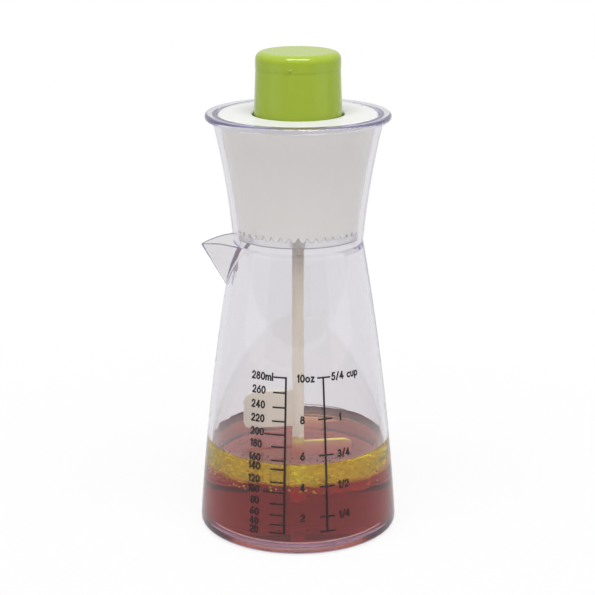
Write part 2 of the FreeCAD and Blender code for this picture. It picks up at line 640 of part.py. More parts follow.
def make_retaining_clip():
    """Open ring in the rod's groove, under the floor's boss."""
    body = flat_ring("retaining_clip", "journal_radius - clip_groove + clip_gap", "clip_radius",
                     "clip_bottom", "clip_top")
    half = "(journal_radius - clip_groove) * clip_mouth_share"
    mouth = draw(new_sketch(body, "mouth_outline", "XZ_Plane"),
                 [(f"-{half}", "clip_bottom - cut_margin"), (half, "clip_bottom - cut_margin"),
                  (half, "clip_top + cut_margin"), (f"-{half}", "clip_top + cut_margin")])
    extruded(body, "Pocket", "mouth", mouth, "clip_radius + cut_margin")
    return body


def paddle(body, name, side, bottom):
    """One flat paddle with rounded outer corners, on the -X (-1) or +X (1) side of the shaft."""
    reach = f"({side}) * paddle_reach"
    top = f"({bottom} + paddle_tall)"
    root = f"({side}) * shaft_radius / 2"
    corners = [(root, bottom), (f"({side}) * (paddle_reach - paddle_low_round)", bottom),
               (reach, f"{bottom} + paddle_low_round"), (reach, f"{top} - paddle_top_round"),
               (f"({side}) * (paddle_reach - paddle_top_round)", top), (root, top)]
    outline = new_sketch(body, name + "_outline", "XZ_Plane", turn="paddle_angle", turn_axis=Vector(0, 1, 0))
    draw(outline, corners, {1: ("paddle_low_round", side), 3: ("paddle_top_round", side)})
    extruded(body, "Pad", name, outline, "paddle_thickness", both_ways=True)


def make_agitator():
    """Shaft with a socket at its top and two staggered paddles, in one moulding."""
    body = new_body("agitator")
    turned(body, "Revolution", "shaft",
           [("0", "shaft_end_height"), ("shaft_radius - shaft_end_round", "shaft_end_height"),
            ("shaft_radius", "shaft_end_height + shaft_end_round"), ("shaft_radius", "hub_bottom"),
            ("hub_radius", "hub_bottom + hub_radius - shaft_radius"), ("hub_radius", "hub_top"),
            ("0", "hub_top")],
           {1: ("shaft_end_round", 1)})
    paddle(body, "upper_paddle", -1, "upper_paddle_height")
    paddle(body, "lower_paddle", 1, "lower_paddle_height")
    socket = tang_section(new_sketch(body, "socket_outline", "XY_Plane", "hub_top"), "fit_gap / 2")
    extruded(body, "Pocket", "socket", socket, "tang_length")
    return body


def biarc(start, start_way, end, end_way):
    """Two arcs that join two points and are tangent to the given unit ways there and to each other."""
    span = end - start
    ways = start_way + end_way
    bend = 2 * (1 - start_way.dot(end_way))
    along = span.dot(ways)
    reach = (math.sqrt(along ** 2 + bend * span.dot(span)) - along) / bend
    first_corner = start + start_way * reach
    last_corner = end - end_way * reach
    middle = (first_corner + last_corner) * 0.5
    return [arc_at(start, first_corner, middle), arc_at(middle, last_corner, end)]


def arc_at(start, corner, end):
    """The arc between two points whose tangents there meet at the corner."""
    chord_middle = (start + end) * 0.5
    half = (end - start).Length / 2
    rise = corner - chord_middle
    sagitta = half * math.tan(math.atan2(rise.Length, half) / 2)
    return Part.Arc(start, chord_middle + rise.normalize() * sagitta, end).toShape()


def make_return_spring():
    """Coil from the lid's floor to the spring washer, as one tube on biarcs of a quarter turn."""
    radius = size("spring_radius")
    wire = size("spring_wire")
    bottom = size("floor_top + spring_gap") + wire / 2
    top = size("spring_top - spring_gap") - wire / 2
    quarters = int(round(size("spring_turns") * 4))
    rise = (top - bottom) / quarters
    climb = rise / (math.pi / 2)

    def station(number):
        angle = number * math.pi / 2
        place = Vector(radius * math.cos(angle), radius * math.sin(angle), bottom + rise * number)
        way = Vector(-radius * math.sin(angle), radius * math.cos(angle), climb).normalize()
        return place, way

    edges = []
    for number in range(quarters):
        edges.extend(biarc(*station(number), *station(number + 1)))
    path = Part.Wire(edges)
    place, way = station(0)
    section = Part.Wire([Part.Circle(place, way, wire / 2).toShape()])
    print(f"return_spring: least gap between turns {4 * rise - wire:.2f} mm")
    feature = doc.addObject("Part::Feature", "return_spring")
    feature.Label = "return_spring"
    feature.Shape = path.makePipeShell([section], True, False)
    feature.Placement = FreeCAD.Placement()
    return feature


def make_parts():
    return [
        make_carafe(),
        make_base_plate(),
        make_lid_cup(),
        make_lid_seal(),
        make_lid_cover(),
        make_button(),
        make_nut_carrier(),
        make_drive_nut(),
        flat_ring("spring_washer", "fin_radius + pocket_wall / 2", "spring_radius + washer_lip",
                  "spring_top", "pocket_bottom"),
        make_return_spring(),
        make_spiral_rod(),
        flat_ring("thrust_washer", "journal_radius + fit_gap", "boss_radius", "bush_top", "collar_bottom"),
        make_shaft_bush(),
        flat_ring("shaft_seal", "bush_bore", "boss_radius - boss_wall / 2 - fit_gap",
                  "boss_bottom", "wiper_top"),
        make_retaining_clip(),
        make_agitator(),
    ]


def check(parts):
    """Stop before anything is written if any object failed or any piece is not one sound solid."""
    failed = [item.Name for item in doc.Objects if {"Invalid", "Error"} & set(item.State)]
    if failed:
        raise RuntimeError("failed objects: " + ", ".join(failed))
    for part in parts:
        shape = part.Shape
        if shape.isNull() or not shape.isValid() or len(shape.Solids) != 1:
            raise RuntimeError(f"{part.Label} is not one sound solid")


def write(parts):
    os.makedirs("parts", exist_ok=True)
    for part in parts:
        part.Shape.exportStep(f"parts/{part.Label}.step")
        box = part.Shape.BoundBox
        print(f"{part.Label}: {part.Shape.Volume:.1f} mm3, z {box.ZMin:.2f} to {box.ZMax:.2f}")


parts = make_parts()
doc.recompute()
check(parts)
write(parts)
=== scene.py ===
"""Looks of a push-button dressing mixer: clear carafe, white lid, green button, cream stirrer, printed scale
and a dressing of two layers. Metres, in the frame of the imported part; sizes are written in millimetres."""
import math

import bpy
import numpy as np
from mathutils import Matrix, Vector
from mathutils.bvhtree import BVHTree
from bpy.props import FloatProperty, FloatVectorProperty, IntProperty, PointerProperty


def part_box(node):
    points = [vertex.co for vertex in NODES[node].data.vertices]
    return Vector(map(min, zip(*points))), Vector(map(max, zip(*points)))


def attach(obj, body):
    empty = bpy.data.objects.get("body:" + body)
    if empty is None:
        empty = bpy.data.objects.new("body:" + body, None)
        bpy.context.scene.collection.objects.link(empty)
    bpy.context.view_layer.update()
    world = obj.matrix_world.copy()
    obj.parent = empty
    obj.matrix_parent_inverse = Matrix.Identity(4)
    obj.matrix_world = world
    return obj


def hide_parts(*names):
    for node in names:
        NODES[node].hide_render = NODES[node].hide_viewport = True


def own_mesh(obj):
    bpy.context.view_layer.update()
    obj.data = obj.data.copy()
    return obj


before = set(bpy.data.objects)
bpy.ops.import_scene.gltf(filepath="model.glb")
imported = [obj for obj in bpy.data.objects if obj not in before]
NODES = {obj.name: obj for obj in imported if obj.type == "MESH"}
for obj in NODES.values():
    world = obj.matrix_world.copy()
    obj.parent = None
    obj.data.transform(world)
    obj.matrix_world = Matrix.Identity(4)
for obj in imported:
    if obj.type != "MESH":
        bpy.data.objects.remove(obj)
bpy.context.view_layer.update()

bl_info = {
    "name": "Dressing mixer",
    "version": (1, 0, 0),
    "blender": (4, 5, 0),
    "location": "3D View > Sidebar > Mixer",
    "description": "Finishes, printed scale, dressing and studio of a push-button dressing mixer",
    "category": "Object",
}

MM = 0.001
WHITE = (1.0, 1.0, 1.0, 1.0)
# Sockets whose names repeat: the colours of a Mix node, and the number of a Random Value node
FIRST_COLOUR = 6
SECOND_COLOUR = 7
MIXED_COLOUR = 2
RANDOM_NUMBER = 1
# Refractive indices
AIR_INDEX = 1.0
PLASTIC_INDEX = 1.57
OIL_INDEX = 1.47
VINEGAR_INDEX = 1.31
# Face attribute of the oil: what lies against each face, and how far a value may lie from it
SIDE = "side"
LOW_SIDE = 0.0
EDGE_SIDE = 0.25
WALL_SIDE = 0.5
TOP_SIDE = 1.0
SIDE_MARGIN = 0.1
# Margins of the zones that the dressing wets and of the foot plate's weld
WET_MARGIN = 0.1 * MM
WELD_MARGIN = 0.05 * MM
WELD_DEPTH = 0.08 * MM
# Line of a low dome from its sunk foot to near its top: shares of its radius and of its rise
DOME_LINE = ((1.0, -0.4), (1.0, 0.0), (0.85, 0.5), (0.5, 0.86))
DOME_STEPS = 16
FAR_OUT = 100 * MM
# Half the height over which the painted light on the stirrer's end in the dressing fades out
PAINTED_LIGHT_FADE = 0.4 * MM
SPRING_WIRE = 1.0 * MM
SPRING_TURNS = 6.0


def linear(colour):
    """An sRGB hex colour as linear red, green, blue and full alpha."""
    parts = [int(colour[place:place + 2], 16) / 255 for place in (1, 3, 5)]
    return tuple(v / 12.92 if v <= 0.04045 else ((v + 0.055) / 1.055) ** 2.4 for v in parts) + (1.0,)


def scaled(colour, share):
    """A linear colour made darker or lighter."""
    return tuple(v * share for v in colour[:3]) + (1.0,)


def tint(name, description, colour):
    """A colour property with an sRGB hex default."""
    return FloatVectorProperty(name=name, description=description, subtype="COLOR", size=4, min=0, max=1,
                               default=linear(colour))


def number(name, description, value):
    """A plain number property."""
    return FloatProperty(name=name, description=description, default=value)


def length(name, description, metres):
    """A length property."""
    return FloatProperty(name=name, description=description, subtype="DISTANCE", unit="LENGTH", precision=5,
                         default=metres)


def degrees(name, description, angle):
    """An angle property with its default in degrees."""
    return FloatProperty(name=name, description=description, subtype="ANGLE", unit="ROTATION",
                         default=math.radians(angle))


# Settings that a user would change

class MixerCarafe(bpy.types.PropertyGroup):
    """The carafe's line below its waist, which the scale and the dressing follow, and its plastic."""
    foot_radius: length("Foot radius", "Outer radius at the foot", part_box("base_plate")[1].x)
    foot_height: length("Foot height", "Where the wall starts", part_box("carafe")[0].z)
    floor_height: length("Floor height", "Inner face of the foot plate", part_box("base_plate")[1].z)
    waist_radius: length("Waist radius", "Outer radius at the waist", 26.95 * MM)
    waist_height: length("Waist height", "Height of the waist", 123.9 * MM)
    bulge_radius: length("Bulge radius", "Radius of the bulge from foot to waist", 1130 * MM)
    wall: length("Wall", "Thickness of the wall", 2.2 * MM)
    face_tint: tint("Face tint", "What each face of the clear plastic lets through", "#FAF9FA")
    depth_tint: tint("Depth tint", "What the clear plastic lets through in depth", "#A097D4")
    depth_density: number("Depth density", "Strength of the depth tint", 17.0)
    # Painted glow: the plastic gives out light of this tint and strength in its depth, standing in for room
    # light scattered along long ways through it
    haze_tint: tint("Haze tint", "Room light that the plastic scatters on long ways through it", "#C6C4D2")
    haze: number("Haze", "Strength of the scattered room light", 2.4)


class MixerFinish(bpy.types.PropertyGroup):
    """Colours of the moulded pieces."""
    white: tint("Lid cover", "White of the lid's cover", "#E4E3E4")
    warm_white: tint("Lid cup", "White of the lid's cup", "#ECEAE2")
    green: tint("Button", "Green of the button", "#9EB52B")
    cream: tint("Stirrer", "Cream of the stirrer", "#D0C6B6")
    # Painted light: a lighter cream where the stirrer stands in the dressing, for light that doesn't reach it
    # through the liquid
    oiled: tint("Oiled", "Cream of the stirrer where it stands in the oil", "#FFF8DC")
    natural: tint("Drive", "Natural acetal of the drive pieces", "#E4E2DA")
    steel: tint("Spring", "Drawn steel of the spring and washers", "#B4B6B8")
    silicone: tint("Seal", "Clear silicone of the seals", "#FCFCFD")
    gate_height: length("Gate height", "Height of the gate mark on the button", 196.1 * MM)
    gate_angle: degrees("Gate angle", "Place of the gate mark round the button", -10.6)
    gate_radius: length("Gate radius", "Radius of the gate mark", 0.75 * MM)
    gate_rise: length("Gate rise", "How far the gate mark stands out", 0.28 * MM)


class MixerScale(bpy.types.PropertyGroup):
    """The scale printed on the carafe."""
    ink: tint("Ink", "Colour of the print", "#060607")
    figure_height: length("Figure height", "Height of the figures", 2.75 * MM)
    figure_width: length("Figure width", "Width of a round figure", 1.35 * MM)
    figure_gap: length("Figure gap", "Space between figures", 0.72 * MM)
    figure_stroke: length("Figure stroke", "Weight of the figures", 0.7 * MM)
    tick_stroke: length("Tick stroke", "Weight of the ticks", 0.7 * MM)
    line_stroke: length("Line stroke", "Weight of the two upright lines", 0.85 * MM)
    ink_film: length("Ink film", "Thickness of the print", 0.04 * MM)
    left_line: degrees("Millilitre line", "Place of the millilitre line round the body", -8.1)
    right_line: degrees("Ounce line", "Place of the ounce line round the body", 17.0)


class MixerDressing(bpy.types.PropertyGroup):
    """Oil floating on vinegar."""
    surface: length("Surface", "Height of the oil's surface", 37.1 * MM)
    layer: length("Layer", "Height where the oil meets the vinegar", 28.6 * MM)
    dip: length("Dip", "Fall of the layer at the back wall, which the oil wets", 4.0 * MM)
    dip_reach: length("Dip reach", "How far from the wall the layer falls", 6.0 * MM)
    meniscus: length("Meniscus", "Climb of the surface at the wall", 0.9 * MM)
    oil: tint("Oil", "What the oil lets through", "#FCF830")
    oil_density: number("Oil density", "Depth of the oil's colour", 80.0)
    vinegar: tint("Vinegar", "What the vinegar lets through", "#E87B76")
    vinegar_density: number("Vinegar density", "Depth of the vinegar's colour", 87.0)
    bead: tint("Beads", "Vinegar beads held in the oil", "#4A200E")
    foam: tint("Foam", "Oil beads held in the vinegar", "#F0D24A")
    haze: tint("Haze", "Fine emulsion in the oil at the wall", "#DCC826")
    film: tint("Film", "What the vinegar on the back wall lets through", "#D09D89")
    skin: tint("Skin", "Creamy line where oil, vinegar and wall meet", "#E6C896")
    beads: IntProperty(name="Beads seed", description="Seed of the beads' places", default=11)


class MixerStage(bpy.types.PropertyGroup):
    """Camera and studio light."""
    camera_back: length("Camera back", "Camera in front of the axis", 704.4 * MM)
    camera_height: length("Camera height", "Camera above the table", 301.7 * MM)
    camera_pitch: degrees("Camera pitch", "Camera tilted down", 16.098)
    focal: number("Focal length", "Lens in millimetres on a 36 mm sensor", 105.91)
    sky: number("Sky", "Even light from all round", 0.42)
    table: number("Table", "How bright the table looks through clear pieces", 0.82)
    front: number("Front", "How bright the room's front looks in clear pieces", 0.38)
    back: number("Back", "How bright the room's back looks in clear pieces", 0.7)
    ceiling: number("Ceiling", "How bright the room's top looks in clear pieces", 1.0)
    inside: number("Inside", "Light from the sides on what the clear pieces hold", 1.0)
    above: number("Above", "Light from above on what the clear pieces hold", 6.0)


GROUPS = {
    "mixer_carafe": MixerCarafe,
    "mixer_finish": MixerFinish,
    "mixer_scale": MixerScale,
    "mixer_dressing": MixerDressing,
    "mixer_stage": MixerStage,
}


# Nodes, meshes and the carafe's line

def add(tree, kind, inputs=None, links=None, **settings):
    """Add a node with its settings, the values of its inputs and its links. A link comes from a node's first
    output or from a (node, output) pair."""
    made = tree.nodes.new(kind)
    for name, value in settings.items():
        setattr(made, name, value)
    for name, value in (inputs or {}).items():
        made.inputs[name].default_value = value
    for name, source in (links or {}).items():
        node, output = source if isinstance(source, tuple) else (source, 0)
        tree.links.new(node.outputs[output], made.inputs[name])
    return made


def blank_material(name):
    """A material with an empty tree, and the object coordinates that its patterns read."""
    made = bpy.data.materials.new(name)
    made.use_nodes = True
    tree = made.node_tree
    tree.nodes.clear()
    return made, tree, (add(tree, "ShaderNodeTexCoord"), "Object")


def dress(node, material):
    """Give a CAD node its finish."""
    mesh = NODES[node].data
    mesh.materials.clear()
    mesh.materials.append(material)


def mesh_object(name, points, faces, material):
    """A new smooth object at the origin from points in metres."""
    mesh = bpy.data.meshes.new(name)
    mesh.from_pydata([tuple(p) for p in points], [], faces)
    mesh.polygons.foreach_set("use_smooth", [True] * len(mesh.polygons))
    mesh.materials.append(material)
    mesh.update()
    made = bpy.data.objects.new(name, mesh)
    bpy.context.scene.collection.objects.link(made)
    return made


def wall_line(height, inset=0.0):
    """Radius of the carafe below its waist at a height, moved in by the inset."""
    carafe = bpy.context.scene.mixer_carafe
    run = carafe.foot_radius - carafe.waist_radius
    rise = carafe.waist_height - carafe.foot_height
    chord = math.hypot(run, rise)
    reach = math.sqrt(carafe.bulge_radius ** 2 - chord ** 2 / 4) / chord
    centre_radius = (carafe.foot_radius + carafe.waist_radius) / 2 - rise * reach
    centre_height = (carafe.foot_height + carafe.waist_height) / 2 - run * reach
    above = np.asarray(height) - centre_height
    return centre_radius + np.sqrt((carafe.bulge_radius - inset) ** 2 - above ** 2)


def on_wall(angles, heights, inset):
    """Points at angles and heights, moved in from the carafe's inner wall by the inset, no further than the
    axis."""
    levels = np.broadcast_to(heights, angles.shape)
    radii = np.maximum(wall_line(levels, bpy.context.scene.mixer_carafe.wall) - inset, 0)
    return np.stack([radii * np.cos(angles), radii * np.sin(angles), levels], 1)


def lofted(rings):
    """Points of closed rings, and the faces that join each ring to the next."""
    count = len(rings[0])
    faces = []
    for base in range(0, (len(rings) - 1) * count, count):
        for step in range(count):
            follow = (step + 1) % count
            faces.append((base + step, base + follow, base + count + follow, base + count + step))
    return np.concatenate(rings), faces


def swept(name, sections, material):
    """A closed strip along its sections, with flat ends."""
    points, faces = lofted(sections)
    count = len(sections[0])
    faces.append(tuple(reversed(range(count))))
    faces.append(tuple(range(len(points) - count, len(points))))
    return mesh_object(name, points, faces, material)


def turned(name, low, rings, high, material, sides):
    """A closed turning from rings of points, between two heights on the axis. sides names what lies against
    the faces below the first ring, between each ring and the next, and above the last."""
    points, bands = lofted(rings)
    count = len(rings[0])
    first = len(points)
    steps = [(step, (step + 1) % count) for step in range(count)]
    floor = [(first, follow, step) for step, follow in steps]
    cover = [(first + 1, first - count + step, first - count + follow) for step, follow in steps]
    points = np.concatenate([points, [[0, 0, low], [0, 0, high]]])
    made = mesh_object(name, points, floor + bands + cover, material)
    layer = made.data.attributes.new(SIDE, "FLOAT", "FACE")
    layer.data.foreach_set("value", np.repeat(sides, count))
    return made


def grown(name, tree, values, points, edges=(), faces=()):
    """Run a node tree on a simple mesh and keep the result as a plain mesh object."""
    seed_mesh = bpy.data.meshes.new(name + "_seed")
    seed_mesh.from_pydata([tuple(p) for p in points], list(edges), list(faces))
    seed = bpy.data.objects.new(name + "_seed", seed_mesh)
    bpy.context.scene.collection.objects.link(seed)
    modifier = seed.modifiers.new(name, "NODES")
    modifier.node_group = tree
    for item in tree.interface.items_tree:
        if item.in_out == "INPUT" and item.name in values:
            modifier[item.identifier] = values[item.name]
    depsgraph = bpy.context.evaluated_depsgraph_get()
    mesh = bpy.data.meshes.new_from_object(seed.evaluated_get(depsgraph), depsgraph=depsgraph)
    seed.modifiers.remove(modifier)
    bpy.data.objects.remove(seed)
    mesh.name = name
    made = bpy.data.objects.new(name, mesh)
    bpy.context.scene.collection.objects.link(made)
    return made


def new_tree(name, sockets):
    """An empty geometry tree with a geometry input and output and named inputs."""
    tree = bpy.data.node_groups.new(name, "GeometryNodeTree")
    tree.interface.new_socket("Geometry", in_out="INPUT", socket_type="NodeSocketGeometry")
    for label, kind in sockets.items():
        tree.interface.new_socket(label, in_out="INPUT", socket_type="NodeSocket" + kind)
    tree.interface.new_socket("Geometry", in_out="OUTPUT", socket_type="NodeSocketGeometry")
    return tree, add(tree, "NodeGroupInput")


def close_tree(tree, entry, last, output):
    """End a tree in real, smooth geometry with its material."""
    real = add(tree, "GeometryNodeRealizeInstances", links={"Geometry": (last, output)})
    finished = add(tree, "GeometryNodeSetMaterial", links={"Geometry": (real, "Geometry"),
                                                           "Material": (entry, "Material")})
    add(tree, "NodeGroupOutput", links={"Geometry": (finished, "Geometry")})


# Materials

def wetted(tree, place):
    """Masks for the clear plastic: where the dressing lies against it, where that is vinegar, and the weld
    between the carafe and its foot plate."""
    carafe = bpy.context.scene.mixer_carafe
    dressing = bpy.context.scene.mixer_dressing
    low = carafe.floor_height
    high = dressing.surface + dressing.meniscus
    middle = [float(wall_line(height, carafe.wall / 2)) for height in (low, high)]
    lean = (middle[1] - middle[0]) / (high - low)
    flat = add(tree, "ShaderNodeVectorMath", {1: (1, 1, 0)}, {0: place}, operation="MULTIPLY")
    radius = add(tree, "ShaderNodeVectorMath", links={0: flat}, operation="LENGTH")
    parts = add(tree, "ShaderNodeSeparateXYZ", links={"Vector": place})
    edge = add(tree, "ShaderNodeMath", {1: lean, 2: middle[0] - lean * low}, {0: (parts, "Z")},
               operation="MULTIPLY_ADD")
    inside = add(tree, "ShaderNodeMath", links={0: (radius, "Value"), 1: edge}, operation="LESS_THAN")
    reach = add(tree, "ShaderNodeMath", {1: (low + high) / 2, 2: (high - low) / 2 + WET_MARGIN},
                {0: (parts, "Z")}, operation="COMPARE")
    wet = add(tree, "ShaderNodeMath", links={0: inside, 1: reach}, operation="MULTIPLY")
    fall = dressing.dip / 2
    meet = add(tree, "ShaderNodeMath", {1: -fall / middle[0], 2: dressing.layer - fall}, {0: (parts, "Y")},
               operation="MULTIPLY_ADD")
    under = add(tree, "ShaderNodeMath", links={0: (parts, "Z"), 1: meet}, operation="LESS_THAN")
    skin = add(tree, "ShaderNodeMath", {1: float(wall_line(low)) - WELD_DEPTH}, {0: (radius, "Value")},
               operation="LESS_THAN")
    foot = carafe.foot_height
    seam = add(tree, "ShaderNodeMath", {1: (foot + low) / 2, 2: (low - foot) / 2 + WELD_MARGIN},
               {0: (parts, "Z")}, operation="COMPARE")
    below = add(tree, "ShaderNodeMath", {1: low - WELD_MARGIN}, {0: (parts, "Z")}, operation="LESS_THAN")
    joined = add(tree, "ShaderNodeMath", links={0: skin, 1: seam}, operation="MULTIPLY")
    weld = add(tree, "ShaderNodeMath", links={0: joined, 1: below}, operation="MULTIPLY")
    return wet, under, weld


def clear_plastic():
    """Injection-moulded styrene-acrylonitrile: bright and clear, violet-grey where the eye looks along the
    wall, with slow flow waves and a faint painted glow in its depth that stands in for room light scattered
    along long ways through it. Where the dressing wets it, its face bends light less, and the weld of the
    foot plate doesn't show."""
    carafe = bpy.context.scene.mixer_carafe
    made, tree, place = blank_material("clear_moulded_san")
    waves = add(tree, "ShaderNodeTexNoise", {"Scale": 1 / (16 * MM), "Detail": 1.0}, {"Vector": place})
    haze = add(tree, "ShaderNodeTexNoise", {"Scale": 1 / (3 * MM), "Detail": 3.0}, {"Vector": place})
    rough = add(tree, "ShaderNodeMapRange", {"To Min": 0.0, "To Max": 0.03}, {"Value": haze})
    relief = add(tree, "ShaderNodeBump", {"Strength": 0.05, "Distance": 0.3 * MM}, {"Height": waves})
    faces = [add(tree, "ShaderNodeBsdfPrincipled",
                 {"Base Color": tuple(carafe.face_tint), "IOR": PLASTIC_INDEX / against,
                  "Transmission Weight": 1.0}, {"Roughness": rough, "Normal": relief})
             for against in (AIR_INDEX, OIL_INDEX, VINEGAR_INDEX)]
    wet, under, weld = wetted(tree, place)
    soaked = add(tree, "ShaderNodeMixShader", links={0: under, 1: faces[1], 2: faces[2]})
    skin = add(tree, "ShaderNodeMixShader", links={0: wet, 1: faces[0], 2: soaked})
    melted = add(tree, "ShaderNodeBsdfTransparent")
    surface = add(tree, "ShaderNodeMixShader", links={0: weld, 1: skin, 2: melted})
    depth = add(tree, "ShaderNodeVolumeAbsorption",
                {"Color": tuple(carafe.depth_tint), "Density": carafe.depth_density})
    # Painted glow: an emission in the plastic's depth, standing in for scattered room light
    painted_glow = add(tree, "ShaderNodeEmission", {"Color": tuple(carafe.haze_tint), "Strength": carafe.haze})
    bulk = add(tree, "ShaderNodeAddShader", links={0: depth, 1: painted_glow})
    add(tree, "ShaderNodeOutputMaterial", links={"Surface": surface, "Volume": bulk})
    return made


def clear_silicone():
    """Liquid-moulded clear silicone: softer and hazier than the carafe, with a satin skin."""
    finish = bpy.context.scene.mixer_finish
    made, tree, place = blank_material("clear_moulded_silicone")
    skin = add(tree, "ShaderNodeTexNoise", {"Scale": 1 / (0.6 * MM), "Detail": 2.0}, {"Vector": place})
    rough = add(tree, "ShaderNodeMapRange", {"To Min": 0.12, "To Max": 0.26}, {"Value": skin})
    shader = add(tree, "ShaderNodeBsdfPrincipled",
                 {"Base Color": tuple(finish.silicone), "IOR": 1.41, "Transmission Weight": 0.88},
                 {"Roughness": rough})
    add(tree, "ShaderNodeOutputMaterial", links={"Surface": shader})
    return made


def moulded_plastic(name, colour, darker, smooth, dull, grain, relief_depth, shine=0.5):
    """An opaque moulding: its colour drifts a little along the flow, and its skin has a fine grain in
    roughness and relief. grain is the size of that skin in metres."""
    made, tree, place = blank_material(name)
    flow = add(tree, "ShaderNodeTexNoise", {"Scale": 1 / (22 * MM), "Detail": 3.0}, {"Vector": place})
    skin = add(tree, "ShaderNodeTexNoise", {"Scale": 1 / grain, "Detail": 2.0}, {"Vector": place})
    shade = add(tree, "ShaderNodeMix", {FIRST_COLOUR: scaled(colour, darker), SECOND_COLOUR: tuple(colour)},
                {0: flow}, data_type="RGBA")
    rough = add(tree, "ShaderNodeMapRange", {"To Min": smooth, "To Max": dull}, {"Value": skin})
    relief = add(tree, "ShaderNodeBump", {"Strength": 0.25, "Distance": relief_depth}, {"Height": skin})
    shader = add(tree, "ShaderNodeBsdfPrincipled", {"IOR": 1.5, "Specular IOR Level": shine},
                 {"Base Color": (shade, MIXED_COLOUR), "Roughness": rough, "Normal": relief})
    add(tree, "ShaderNodeOutputMaterial", links={"Surface": shader})
    return made


def drawn_steel():
    """Drawn spring wire: bright steel with fine draw lines in its roughness."""
    finish = bpy.context.scene.mixer_finish
    made, tree, place = blank_material("drawn_spring_steel")
    stretch = add(tree, "ShaderNodeMapping", {"Scale": (1.0, 1.0, 6.0)}, {"Vector": place})
    lines = add(tree, "ShaderNodeTexNoise", {"Scale": 1 / (0.8 * MM), "Detail": 3.0}, {"Vector": stretch})
    rough = add(tree, "ShaderNodeMapRange", {"To Min": 0.22, "To Max": 0.42}, {"Value": lines})
    shader = add(tree, "ShaderNodeBsdfPrincipled", {"Base Color": tuple(finish.steel), "Metallic": 1.0},
                 {"Roughness": rough})
    add(tree, "ShaderNodeOutputMaterial", links={"Surface": shader})
    return made


def screen_ink():
    """Screen-printed black ink: nearly matt, with the thin spots that a squeegee leaves."""
    scale = bpy.context.scene.mixer_scale
    made, tree, place = blank_material("screen_printed_ink")
    spots = add(tree, "ShaderNodeTexNoise", {"Scale": 1 / (0.5 * MM), "Detail": 2.0}, {"Vector": place})
    thin = scaled(scale.ink, 2.2)
    shade = add(tree, "ShaderNodeMix", {FIRST_COLOUR: tuple(scale.ink), SECOND_COLOUR: thin}, {0: spots},
                data_type="RGBA")
    rough = add(tree, "ShaderNodeMapRange", {"To Min": 0.42, "To Max": 0.6}, {"Value": spots})
    shader = add(tree, "ShaderNodeBsdfPrincipled", {"IOR": 1.5},
                 {"Base Color": (shade, MIXED_COLOUR), "Roughness": rough})
    add(tree, "ShaderNodeOutputMaterial", links={"Surface": shader})
    return made


def red_vinegar():
    """Red wine vinegar under the oil: its colour comes from its depth, with a faint cloud of herbs at its
    faces. The plastic and the oil around it bend the light."""
    dressing = bpy.context.scene.mixer_dressing
    made, tree, place = blank_material("red_wine_vinegar")
    cloud = add(tree, "ShaderNodeTexNoise", {"Scale": 1 / (5 * MM), "Detail": 4.0}, {"Vector": place})
    shade = add(tree, "ShaderNodeMix", {FIRST_COLOUR: linear("#F4E4E2"), SECOND_COLOUR: WHITE}, {0: cloud},
                data_type="RGBA")
    shader = add(tree, "ShaderNodeBsdfTransparent", links={"Color": (shade, MIXED_COLOUR)})
    depth = add(tree, "ShaderNodeVolumeAbsorption",
                {"Color": tuple(dressing.vinegar), "Density": dressing.vinegar_density})
    add(tree, "ShaderNodeOutputMaterial", links={"Surface": shader, "Volume": depth})
    return made


